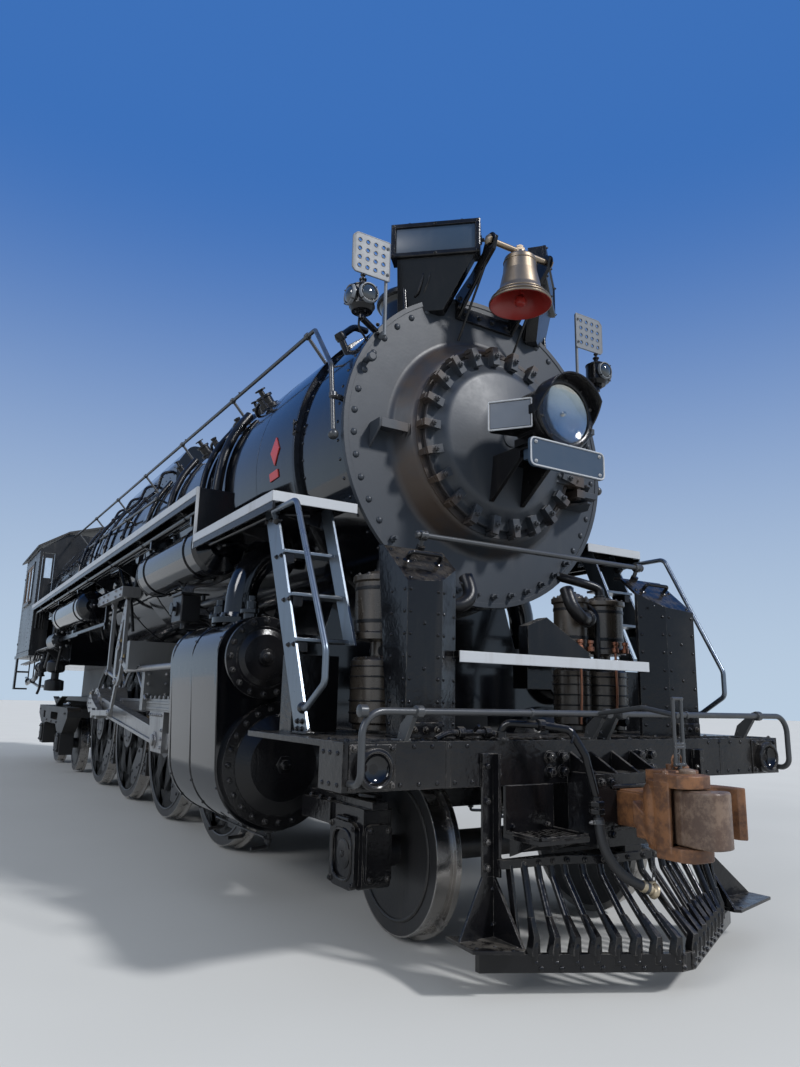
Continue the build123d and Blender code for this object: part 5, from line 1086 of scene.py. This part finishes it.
small.turned((*KNUCKLE_PIN, 618), DOWN, ((46, 0), (46, 8), (30, 12)), 16)
small.done("coupler_bosses", "coupler_rust", coupler_rust)

NOSE = ((-92, -680), (-88, -780), (-46, -803), (-40, -822), (-50, -845), (-78, -868), (-115, -877),
    (-165, -877), (-195, -866), (-214, -842), (-222, -800), (-224, -745), (-215, -680))
jaw = Work()
jaw.plate("z", (685, 935), NOSE, 0)
jaw.turned((*KNUCKLE_PIN, 0), UP, ((68, 685), (68, 935)), 32)
cast(jaw, "knuckle_casting", "knuckle", knuckle_rust, 11, "knuckle")
pin = Work()
pin.turned((*KNUCKLE_PIN, 0), UP, ((22, 612), (25, 616), (25, 1001), (38, 1001), (38, 1018), (30, 1024),
    (12, 1028)), 24)
pin.done("knuckle_pin", "coupler_rust", knuckle_rust, "knuckle")
ties = Work()
links(ties, (-60, -560, 1010), (-15, -15, 26), 5, 10, 36, 4, 9)
ties.pipe([(-70, -556, 1018), (-52, -540, 1030), (-46, -522, 1018), (-64, -528, 1006)], 6, 12, 8, loop=True)
ties.done("lock_chain", "black_paint", clamp_steel)

# Number boards: two slanted sheet-steel boxes with a lamp inside, each behind a blank face in a bolted
# frame that hinges up. They stand on tapering plates, with conduits run down to the smokebox.
give(black_paint, "number_boards")
BOARD_TURN = radians(41.5)
frames, faces = Work(), Work()
for side, _, _ in both(frames, faces):
    def on_board(u, out, rise):
        """A place on this board, across it, out from its middle and above it."""
        return (502 + out * sin(BOARD_TURN) + u * cos(BOARD_TURN),
            976 + u * sin(BOARD_TURN) - out * cos(BOARD_TURN), 4568 + rise)

    def rim(half, tall, out):
        return [on_board(u * half, out, v * tall) for u, v in ((-1, -1), (1, -1), (1, 1), (-1, 1))]

    look = (sin(BOARD_TURN), -cos(BOARD_TURN), 0)
    frames.skin([rim(*ring) for ring in ((323, 134, 52), (323, 134, 74), (316, 127, 79), (291, 102, 79),
        (285, 96, 61))], loop=True)
    frames.skin([rim(*ring) for ring in ((280, 100, -58), (280, 100, -66), (272, 92, -70))])
    faces.skin([rim(*ring) for ring in ((286, 98, 58), (286, 98, 64), (276, 88, 68))])
    frames.bolts([on_board(u, 79, v) for u in (-306, 0, 306) for v in (-118, 118)], look, 8, 6)
    for u in (-190, 190):
        frames.bar(on_board(u - 34, 30, 142), on_board(u + 34, 30, 142), 15)
        frames.bar(on_board(u, 30, 128), on_board(u, 60, 142), 10)
    for u in (-250, 250):
        frames.bar(on_board(u, -30, -130), (540 + u * 0.5, 1120, 4040), 15)
    for u in (-90 * side, -40 * side):
        frames.pipe([on_board(u, -10, -120), on_board(u, 20, -260), (520 + u, 1060, 4160),
            (500 + u, 1180, 4170)], 9, 50)
    frames.turned(on_board(322 * side, 0, 0), (cos(BOARD_TURN) * side, sin(BOARD_TURN) * side, 0),
        ((34, -2), (34, 8), (14, 12), (14, 26)), 12)
frames.done("number_board_frames", "black_paint", black_paint)
faces.done("number_board_faces", "plate_grey", enamel_blue)

# Marker lamps: cast bodies with a lens to the front and one to the side, held in pale bezels. A cap on top
# lets the heat out, and a cable comes in from below.
plate_grey = weathered("plate_grey", (0.15, 0.165, 0.185), 0.45, dust=(0.12, 0.11, 0.10), dusting=0.4,
    drips=1.6, lumps=0.15, worn=0.6)
lens_glass = weathered("lens_glass", (0.030, 0.038, 0.045), 0.08, dusting=0.1, drips=0.1, lumps=0.02,
    worn=0, Coat_Weight=1.0, Coat_Roughness=0.03)
give(black_paint, "marker_lamps")
bezels, lenses, lamp_parts = Work(), Work(), Work()
for _ in both(bezels, lenses, lamp_parts):
    x, d, h = 1092, 983, 3951
    for away, look in ((Vector((0, -92, 0)), AHEAD), (Vector((92, 0, 0)), OUT)):
        centre = Vector((x, d, h)) + away
        bezels.turned(centre, look, ((66, -10), (72, -6), (72, 6), (68, 14), (62, 15), (59, 9), (58, 0)),
            40, caps=False)
        lenses.turned(centre, look, ((60, -2), (57, 6), (48, 16), (34, 24), (18, 28), (3, 30)), 32)
        lamp_parts.bolts(ring_of(centre, 69, 4, "y" if look[1] else "x", pi / 4), look, 5, 14)
    lamp_parts.turned((x, d, h + 128), UP, ((18, 0), (26, 6), (26, 16), (10, 24), (10, 34), (18, 42),
        (18, 52), (6, 58)), 16)
    lamp_parts.turned((x, d, h + 62), UP, ((85, 0), (88, 4), (88, 12), (80, 16)), 32)
    lamp_parts.turned((x, d, h - 70), UP, ((84, 0), (88, 4), (88, 12), (84, 16)), 32)
    lamp_parts.bolts(ring_of((x, d, h - 104), 44, 4, "z"), DOWN, 8, 8)
    lamp_parts.pipe([(x, 1010, 3850), (x, 1030, 3760), (1010, 1075, 3730), (960, 1110, 3700)], 8, 50, 8)
    lamp_parts.bolts(spots(930, 1050, (3770, 3835)), AHEAD, 11, 9)
bezels.done("lamp_bezels", "plate_grey", plate_grey)
lenses.done("lamp_lenses", "plate_grey", lens_glass)
lamp_parts.done("lamp_caps", "black_paint", black_paint)

# Flag plates: thin pierced sheet, painted grey and beaded at the edge, bolted to round posts. Each hole has
# a pressed rim.
give(plate_grey, "flag_plates")
edges = Work()
for _ in both(edges):
    edges.pipe([(x, 989, h) for x, h in ((884, 4144), (884, 4438), (1140, 4438), (1172, 4405), (1172, 4167),
        (1151, 4144))], 6, 10, 8, loop=True)
    edges.bolts(spots(900, 985, (4190, 4390)), AHEAD, 10, 8)
    for row, column in itertools.product(range(4), range(4)):
        edges.turned((1028 + (column - 1.5) * 62, 986, 4291 + (row - 1.5) * 64), AHEAD, ((14, 0), (17, 2),
            (17, 4), (14, 4)), 16, caps=False)
edges.done("flag_plate_edges", "plate_grey", plate_grey)

# Bell: cast bronze, turned and left bare outside and painted red within, hung by its crown from a shaft in
# the yoke's arms. Its iron clapper hangs inside.
BELL_PIVOT = 4500
bell_bronze = weathered("bell_bronze", (0.27, 0.215, 0.155), 0.37, dust=(0.16, 0.12, 0.08), dusting=0.5,
    drips=1.4, Metallic=0.85, bare=(0.75, 0.6, 0.38), lumps=0.06, grain=30)
bell_red = weathered("bell_red", (0.28, 0.02, 0.015), 0.35, dust=(0.16, 0.06, 0.05), dusting=0.4, lumps=0.1)
give(bell_bronze, "bell")
give(black_paint, "bell_yoke")
BELL_D = 643
inside, outside, yoke = Work(), Work(), Work()
inside.turned((0, BELL_D, 0), UP, ((2, 4432), (90, 4416), (102, 4319), (133, 4196), (178, 4116),
    (220, 4081), (215, 4080), (174, 4112), (129, 4192), (98, 4316), (86, 4410), (2, 4426)), 48)
inside.turned((0, BELL_D, 0), UP, ((10, 4428), (10, 4160), (26, 4150), (40, 4128), (44, 4104), (36, 4082),
    (16, 4074)), 20)
for h, reach in ((4112, 209), (4150, 178), (4405, 117)):
    outside.turned((0, BELL_D, h), UP, ((reach - 8, -2), (reach + 3, 2), (reach + 3, 8), (reach - 8, 12)),
        48, caps=False)
outside.turned((0, BELL_D, 4462), UP, ((52, 0), (52, 12), (40, 18), (40, 62), (28, 72),
    (28, 84), (14, 90)), 6)
for _ in both(outside, yoke):
    outside.turned((268, BELL_D, BELL_PIVOT), OUT, ((22, 0), (22, 8), (38, 8), (38, 26),
        (26, 32), (14, 38)), 6)
    yoke.turned((266, BELL_D, BELL_PIVOT), OUT, ((58, -2), (58, 4), (46, 6), (46, -2)), 28, caps=False)
    yoke.bolts([(266, d, h) for d, h in ((1010, 4150), (1010, 4220), (900, 4270))], OUT, 15, 12)
    yoke.bar((252, 760, 4330), (252, 1040, 4090), 12)
    yoke.bar((252, 700, 4390), (252, 1045, 3900), 9)
    yoke.bolts(spots((60, 190), 1040, 4130), AHEAD, 16, 14)
inside.done("bell_lining_and_clapper", "bell_bronze", bell_red, "bell")
outside.done("bell_beads", "bell_bronze", bell_bronze, "bell")
yoke.done("yoke_bolts", "black_paint", black_paint)

# Air tanks: rolled steel with dished ends, welded, and hung in steel straps. Each has its pipe joints and a
# drain cock.
give(jacket_black, "air_tanks")
tanks = Work()
for _ in both(tanks):
    for x, front, back, h, r in ((1370, 2775, 4655, 2490, 220), (1400, 8000, 10300, 2480, 205)):
        for d in (front + 24, back - 44):
            tanks.turned((x, d, h), AFT, ((r - 2, 0), (r + 4, 4), (r + 4, 16), (r - 2, 20)), 64, caps=False)
        for d in (front + 285, back - 275):
            tanks.bolts([(x + 150, d, h + r - 12), (x - 60, d, h - r - 12)], (0.5, 0, 1), 16, 20)
            tanks.box((x - 40, x + 170), (d - 22, d + 22),
                (h + r - 8, 2828 if x == 1370 else h + r + 40), 2)
        tanks.turned((x, front - 55, h), AHEAD, ((46, -6), (46, 10), (30, 14), (30, 26)), 8)
        tanks.pipe([(x, front - 78, h), (x, front - 110, h), (x - 150, front - 110, h + 60)], 19, 40)
        tanks.turned((x, (front + back) / 2, h - r), DOWN, ((28, -6), (28, 16), (16, 20), (16, 48),
            (22, 52), (22, 70)), 8)
        tanks.bar((x + 10, (front + back) / 2, h - r - 34), (x + 90, (front + back) / 2, h - r - 34), 7)
tanks.done("tank_straps_and_cocks", "jacket_black", jacket_black)

# Valve gear: forged rods with bronze bushes, hung from a cast frame with a grease cup over each pin. A
# cylinder on the right side shifts it, through the long reach rod.
give(rod_steel, "valve_gear")
give(black_paint, "power_reverse")
gear, cups = Work(), Work()
for _ in both(gear, cups):
    gear.bolts(spots(1450, (6000, 6250, 6700, 6950, 7240), (2425, 2495)), OUT, 15, 12)
    for d, h, r in ((6150, 1850, 48), (6400, 1092, 40), (6215, 1450, 38), (6700, 1560, 36),
            (6700, 2360, 36), (5630, 1570, 40), (5950, 1680, 34)):
        gear.turned((1374, d, h), OUT, ((r, 0), (r, 12), (r * 0.8, 18), (r * 0.45, 18), (r * 0.4, 26),
            (r * 0.2, 28)), 20)
        cups.turned((1356, d, h + r), UP, ((12, 0), (12, 22), (8, 26), (8, 34), (5, 38)), 8)
    gear.bolts([(1376, 6030 + 52 * n, 2310 - 96 * n) for n in range(6)], OUT, 9, 6)
    gear.bar((1300, 5690, 1700), (1300, 5000, 1260), 18)
    gear.turned((VALVE_X, 3046, VALVE_H), AFT, ((62, 0), (62, 26), (48, 34), (34, 36)), 8)
for d in (10500, 11170):
    gear.bolts(ring_of((-1400, d, 2150), 122, 8), (0, -1 if d < 10800 else 1, 0), 14, 12)
gear.done("valve_gear_pins", "rod_steel", rod_steel)
cups.done("valve_gear_cups", "bell_bronze", bush_bronze)

# Lead truck: cast journal boxes outside the wheels, with hinged lids round an oval recess, below coil
# springs. Both wheels are pressed on their axle.
LID_FACE = 1160
give(beam_paint, "lead_truck_frame")
LEAD_AXLE, TRUCK_TREAD, TYRE_FACE = 870, 457, 818
give(wheel_finish("lead_wheel_finish", LEAD_AXLE, TRUCK_TREAD), "lead_wheels")
boxes, tyres = Work(), Work()
for side, _, _ in both(boxes, tyres):
    boxes.pipe([(LID_FACE, d, h) for d, h in ((757, 332), (983, 332), (983, 598), (757, 598))], 9, 90,
        10, loop=True)
    boxes.bolts([(LID_FACE, d, h) for h in (318, 612) for d in (740, 1000)], OUT, 15, 10)
    boxes.bar((1150, 800, 655), (1150, 940, 655), 14)
    boxes.turned((1150, 870, 465), OUT, ((80, -2), (80, 4), (62, 8), (20, 8), (16, 16), (6, 18)), 28)
    boxes.bolts(spots((985, 1095), 655, (360, 610)), AHEAD, 14, 10)
    for d in (780, 960):
        for turn in range(5):
            boxes.turned((1040, d, 770 + turn * 34), (0.1 * side, 0, 1), ((58, 0), (70, 4), (70, 18),
                (58, 22)), 24)
    boxes.bolts(spots(1115, (1120, 1250, 1380), 720), UP, 15, 12)
    tyres.turned((TYRE_FACE, LEAD_AXLE, TRUCK_TREAD), OUT, ((382, -2), (382, 6), (372, 9), (362, 6),
        (362, -2)), 64, caps=False)
boxes.done("lead_journal_boxes", "black_paint", beam_paint, "lead_truck")
tyres.done("lead_tyre_rings", "wheel_black", grimy_black, "lead_wheels")

# Trailing truck: one cast frame outside two unlike axles, with bolted lids on its journal boxes and leaf
# springs above.
give(grimy_black, "trailing_truck_frame")
truck = Work()
for axle, tread, name in ((11580, 457, "trailing_wheels_front"), (13672, 546, "trailing_wheels_rear")):
    give(wheel_finish(f"{name}_finish", axle, tread), name)
    disc = Work()
    for _ in both(truck, disc):
        truck.bolts([(1150, axle + u, tread + v) for u in (-112, 112) for v in (-122, 122)], OUT, 17, 10)
        truck.turned((1150, axle, tread), OUT, ((92, -2), (92, 4), (70, 10), (24, 10),
            (18, 18), (6, 20)), 32)
        truck.bar((1142, axle - 90, tread + 158), (1142, axle + 90, tread + 158), 13)
        disc.turned((TYRE_FACE, axle, tread), OUT, ((tread - 75, -2), (tread - 75, 6), (tread - 85, 9),
            (tread - 95, 6), (tread - 95, -2)), 64, caps=False)
    disc.done(f"{name}_rings", "wheel_black", grimy_black, name)
for _ in both(truck):
    for n in range(7):
        leaf(truck, (960, 1060), 12626, 140 + n * 60, 1075 + n * 16, 14, 50)
    truck.box((950, 1070), (12586, 12666), (1058, 1190))
    truck.bolts([(1120, d, h) for d, h in ((11100, 960), (11200, 960), (12000, 790), (12600, 790),
        (13200, 800), (14200, 980))], OUT, 18, 12)
truck.done("trailing_truck_fittings", "black_paint", grimy_black, "trailing_truck")

# Below the cab and firebox: cast injectors that feed the boiler, an iron pump beside them, and a bundle of
# steel pipes for water, steam and air. All of it hangs in straps from the running boards and floor.
below, below_pipes = Work(), Work()
for _ in both(below, below_pipes):
    below.turned((1420, 12000, 1750), AFT, ((56, 0), (96, 6), (96, 44), (62, 60), (62, 250), (84, 270),
        (84, 330), (60, 350), (60, 470), (98, 476), (98, 520), (50, 526)), 20)
    below.turned((1420, 12170, 1800), UP, ((58, 0), (58, 60), (76, 64), (76, 96), (30, 104), (30, 170),
        (60, 172), (60, 182), (12, 186)), 16)
    below.turned((1420, 12330, 1700), DOWN, ((50, 0), (50, 80), (66, 84), (66, 110), (40, 116)), 16)
    below.turned((1345, 11140, 1330), UP, ((60, 0), (150, 8), (156, 40), (150, 170), (108, 186), (62, 200),
        (62, 300), (112, 312), (140, 330), (146, 350), (146, 470), (120, 500), (50, 512)), 28)
    below.bolts(ring_of((1345, 11140, 1836), 96, 8, "z"), UP, 12, 12)
    for d in (12100, 12420, 11140):
        below.box((1236, 1400), (d - 30, d + 30), (1770, 1800))
    for d in (10700, 11600, 12700):
        below.box((1236, 1480), (d, d + 40), (2020, 2044))
        below.plate("y", (d + 10, d + 30), ((1238, 1820), (1470, 2022), (1238, 2022)))
    below_pipes.pipe([(1420, 12020, 1750), (1420, 11800, 1750), (1400, 11650, 1980), (1345, 11560, 2500),
        (1335, 11540, 2900)], 36, 150, 14)
    below_pipes.pipe([(1420, 12500, 1750), (1420, 12850, 1720), (1390, 13250, 1560), (1390, 14300, 1500),
        (1300, 15400, 1480)], 42, 180, 14)
    below_pipes.pipe([(1340, 12170, 1900), (1300, 12170, 2300), (1300, 12400, 2880)], 24, 90)
    below_pipes.pipe([(1420, 12330, 1600), (1420, 12330, 1380), (1440, 12420, 1280)], 24, 50)
    below_pipes.pipe([(1345, 11000, 1640), (1380, 10800, 1700), (1360, 10620, 2080),
        (1330, 10600, 2880)], 22, 90)
    below_pipes.pipe([(1345, 11290, 1420), (1360, 11700, 1400), (1360, 13100, 1420),
        (1330, 15400, 1600)], 26, 140)
    for x, h, radius in ((1462, 2074, 17), (1415, 2068, 13), (1372, 2072, 20)):
        below_pipes.pipe([(x, 10560, 2600), (x, 10600, h), (x, 13080, h), (x, 13240, h - 170),
            (x, 15360, h - 200)], radius, 120)
    for d in (13700, 14500):
        below.bar((1392, d, 1530), (1392, d, 1995), 12)
        below.turned((1391, d - 18, 1522), AFT, ((48, 0), (52, 3), (52, 33), (48, 36)), 20)
below.done("injectors_and_pump", "cast_black", cast_black)
below_pipes.done("pipes_below_cab", "black_paint", black_paint)

# Cab: riveted steel sheet, painted black, under a curved roof with a sliding hatch. Wooden sashes hold the
# side windows, and a strip of wood is the armrest.
CAB_SIDE, SASH = 1580, (1566, 1590)
cab_black = weathered("cab_black", (0.012, 0.012, 0.013), 0.28, dust=(0.12, 0.11, 0.10), dusting=0.4,
    drips=0.8, lumps=0.2, grain=40)
sash_wood = weathered("sash_wood", (0.14, 0.075, 0.035), 0.42, dust=(0.10, 0.08, 0.06), drips=0.8,
    lumps=0.4, grain=90, worn=0.3)
give(cab_black, "cab_side_right", "cab_side_left", "cab_front", "cab_floor", "cab_door_right",
    "cab_door_left")
roof_black = weathered("roof_black", (0.020, 0.019, 0.018), 0.55, dust=(0.10, 0.09, 0.08), dusting=0.9,
    lumps=0.4, grain=50)
give(roof_black, "cab_roof")
sheet, sashes, panes = Work(), Work(), Work()
for side, name, _ in both(sheet, sashes, panes):
    sheet.rivets(spots(CAB_SIDE, range(13240, 15400, 90), (2090, 4040)), OUT, 9)
    sheet.rivets(spots(CAB_SIDE, (13225, 13800, 15110, 15370), range(2180, 4040, 90)), OUT, 9)
    for h in (2050, 3010):
        sheet.box((1578, 1586), (13200, 15390), (h, h + 34), 2)
    sheet.rivets(spots((1270, 1290), 13200, (3300, 3500, 3700, 3900)), AHEAD, 9)
    sheet.rivets(spots(1605, range(13160, 15820, 110), 4118), OUT, 9)
    for start, end in ((13905, 14428), (14472, 14995)):
        for low in (3100, 3800):
            sashes.box(SASH, (start, end), (low, low + 50), 2)
        for d in (start, end - 45):
            sashes.box(SASH, (d, d + 45), (3150, 3800), 2)
        panes.box((1574, 1579), (start + 40, end - 40), (3145, 3805), 0)
    sashes.box((1575, 1624), (13945, 14955), (3092, 3104), 3)
    for h in (1350, 1700):
        for d in range(15150, 15376, 28):
            sheet.box((1325, 1575), (d, d + 7), (h + 29, h + 34), 0)
    for h in (2300, 3700):
        sheet.turned((1560, 15386, h), AFT, ((34, -2), (34, 8), (20, 14)), 12)
    pane, catch = Work(side), Work(side)
    pane.box((1346, 1479), (13217, 13222), (3496, 3904), 0)
    pane.done(f"cab_door_glass_{name}", "plate_grey", lamp_glass, f"cab_door_{name}")
    catch.turned((1345, 13203, 3400), AHEAD, ((22, 0), (22, 6), (10, 10), (10, 34), (20, 40),
        (20, 54), (8, 60)), 16)
    catch.rivets([(x, 13205, h) for h in (3492, 3908) for x in (1352, 1473)], AHEAD, 7)
    catch.done(f"cab_door_catch_{name}", "plate_grey", cab_black, f"cab_door_{name}")
for d in (13330, 14020, 14980, 15650):
    for _ in both(sheet):
        sheet.rivets([(x, d, 4460 - (x - 1100) * 0.63) for x in range(1150, 1600, 90)], (0.53, 0, 0.85), 9)
        sheet.rivets([(x, d, 4640 - (x - 500) * 0.3) for x in range(520, 1080, 90)], (0.29, 0, 0.96), 9)
for x in (-470, 470):
    sheet.box((x - 12, x + 12), (14000, 15300), (4630, 4665))
sheet.box((-60, 60), (14060, 14100), (4715, 4735))
sheet.done("cab_rivets_and_strips", "black_paint", cab_black)
sashes.done("cab_sashes", "black_paint", sash_wood)
panes.done("cab_panes", "plate_grey", lamp_glass)

# Backhead: the fittings worked by hand, bolted to the boiler's end inside the cab: fire door, gauges with
# blank dials, water glasses, valve wheels and the throttle lever. The seats are steel boxes with wooden
# lids.
BACKHEAD = 13950
backhead, dials, wheels, seats = Work(), Work(), Work(), Work()
backhead.rivets(ring_of((0, BACKHEAD, BOILER_H), 1180, 48), AFT, 18)
backhead.rivets(spots(range(-800, 801, 160), BACKHEAD, (3300, 3450, 3600)), AFT, 14)
backhead.turned((0, BACKHEAD, 2620), AFT, ((330, -4), (330, 26), (290, 34), (250, 34), (240, 10)), 40)
backhead.turned((0, 13960, 2620), AFT, ((236, 0), (236, 30), (200, 44), (60, 50)), 32)
backhead.box((-330, -250), (13960, 14030), (2480, 2760))
backhead.pipe([(0, BACKHEAD, 3700), (0, 14080, 3700), (260, 14120, 3620), (640, 14140, 3500),
    (700, 14150, 3300)], 22, 60)
backhead.bar((-620, 14060, 3960), (620, 14060, 3960), 42)
for x, h, r in ((-760, 3560, 90), (-540, 3780, 110), (-260, 3860, 90), (60, 3880, 120), (340, 3820, 90),
        (600, 3700, 100)):
    backhead.turned((x, BACKHEAD, h), AFT, ((r, -4), (r, 60), (r + 8, 64), (r + 8, 84), (r - 6, 88),
        (r - 8, 74)), 32)
    dials.turned((x, 14012, h), AFT, ((r - 7, 0), (r - 7, 6), (r - 12, 8)), 32)
    backhead.pipe([(x, 13990, h - r), (x, 13990, h - r - 160), (x * 0.8, 13970, h - r - 260)], 8, 40, 8)
for x, h in ((-620, 3250), (-440, 3330), (-250, 3420), (240, 3420), (430, 3330), (610, 3180), (-300, 4060),
        (0, 4060), (300, 4060)):
    backhead.bar((x, BACKHEAD, h), (x, 14120, h), 20)
    wheels.pipe(list(ring_of((x, 14130, h), 60, 10)), 9, 40, 8, loop=True)
    for a in (0, 2.09, 4.19):
        wheels.bar((x, 14130, h), (x + 58 * cos(a), 14130, h + 58 * sin(a)), 7)
for x in (-880, 880):
    backhead.bar((x, 14010, 3150), (x, 14010, 3500), 14)
    for h in (3170, 3480):
        backhead.bar((x, BACKHEAD, h), (x, 14040, h), 24)
for _ in both(seats, backhead):
    seats.box((1050, 1500), (14300, 14750), (2740, 2785), 8)
    seats.box((1480, 1520), (14300, 14750), (2880, 3120), 8)
    backhead.box((1080, 1480), (14330, 14720), (2050, 2742))
    backhead.box((1420, 1470), (13960, 14300), (2050, 2800))
backhead.done("backhead_fittings", "black_paint", black_paint)
dials.done("gauge_dials", "pale_plate", pale_paint)
wheels.done("valve_wheels", "plate_grey", red_enamel)
seats.done("seat_boards", "black_paint", sash_wood)

# Handrails: steel pipe held in bulb-shaped pillars screwed into the boiler. Each side has a high and a low
# run, and both rise a little towards the cab.
pillars = Work()
for _ in both(pillars):
    for x, places, start, end, low, rise in ((1000, range(2073, 12900, 1755), 1929, 13100, 4148, 202),
            (1200, (5740, 7300, 8800, 10280), 5695, 10330, 3553, 92)):
        for d in places:
            h = low + (d - start) / (end - start) * rise
            pillars.turned((x, d - 24, h), AFT, ((19, 0), (28, 8), (28, 40), (19, 48)), 16)
    pillars.turned((1200, 1142, 3268), (0, 0.14, 1), ((19, 0), (29, 8), (29, 36), (19, 44)), 16)
    for d, h in ((3600, 4186), (5400, 4218)):
        pillars.bolts([(1000, d, h)], OUT, 9, 20)
pillars.done("handrail_pillars", "cast_black", clamp_steel)

# Plain pale floor and soft light, the way a studio would show an engine: one broad lamp high ahead of the
# engine, a weaker one from the side, and a surround that is pale at the floor's edge and light blue
# overhead.
floor_mesh = bpy.data.meshes.new("floor")
floor_mesh.from_pydata([(-80, -60, 0), (80, -60, 0), (80, 120, 0), (-80, 120, 0)], [], [(0, 1, 2, 3)])
floor = bpy.data.objects.new("floor", floor_mesh)
bpy.context.scene.collection.objects.link(floor)
floor_paint, floor_place = new_finish("floor_paint", Roughness=0.9)
(floor_place.noise(0.6, 2).between(0.2, 0.8) * 0.5).mixed((0.55, 0.55, 0.54),
    (0.60, 0.60, 0.59)).feed("Base Color")
floor_mesh.materials.append(floor_paint)

for name, energy, turn, angle in (("key", 2.6, (50, 0, 28), 6), ("side", 0.9, (62, 0, -75), 20)):
    lamp = bpy.data.objects.new(name, bpy.data.lights.new(name, "SUN"))
    lamp.data.energy, lamp.data.angle = energy, radians(angle)
    lamp.rotation_euler = [radians(t) for t in turn]
    bpy.context.scene.collection.objects.link(lamp)

world = bpy.data.worlds.new("surround")
bpy.context.scene.world = world
world.use_nodes = True
sky = Socket(world.node_tree, world.node_tree.nodes.new("ShaderNodeTexCoord").outputs["Generated"])
path = [sky.node("ShaderNodeLightPath", {}, {}, ray) for ray in ("Is Camera Ray", "Is Glossy Ray",
    "Is Transmission Ray")]
seen = path[0] + path[1] + path[2]
height = sky.part("Z")
tone = height.between(-0.05, 0.62).mixed((0.58, 0.72, 0.88), (0.055, 0.19, 0.56))
shade = seen.between(0, 1).mixed((0.50, 0.56, 0.64), tone)
world.node_tree.links.new(shade.out, world.node_tree.nodes["Background"].inputs["Color"])
world.node_tree.nodes["Background"].inputs["Strength"].default_value = 0.85
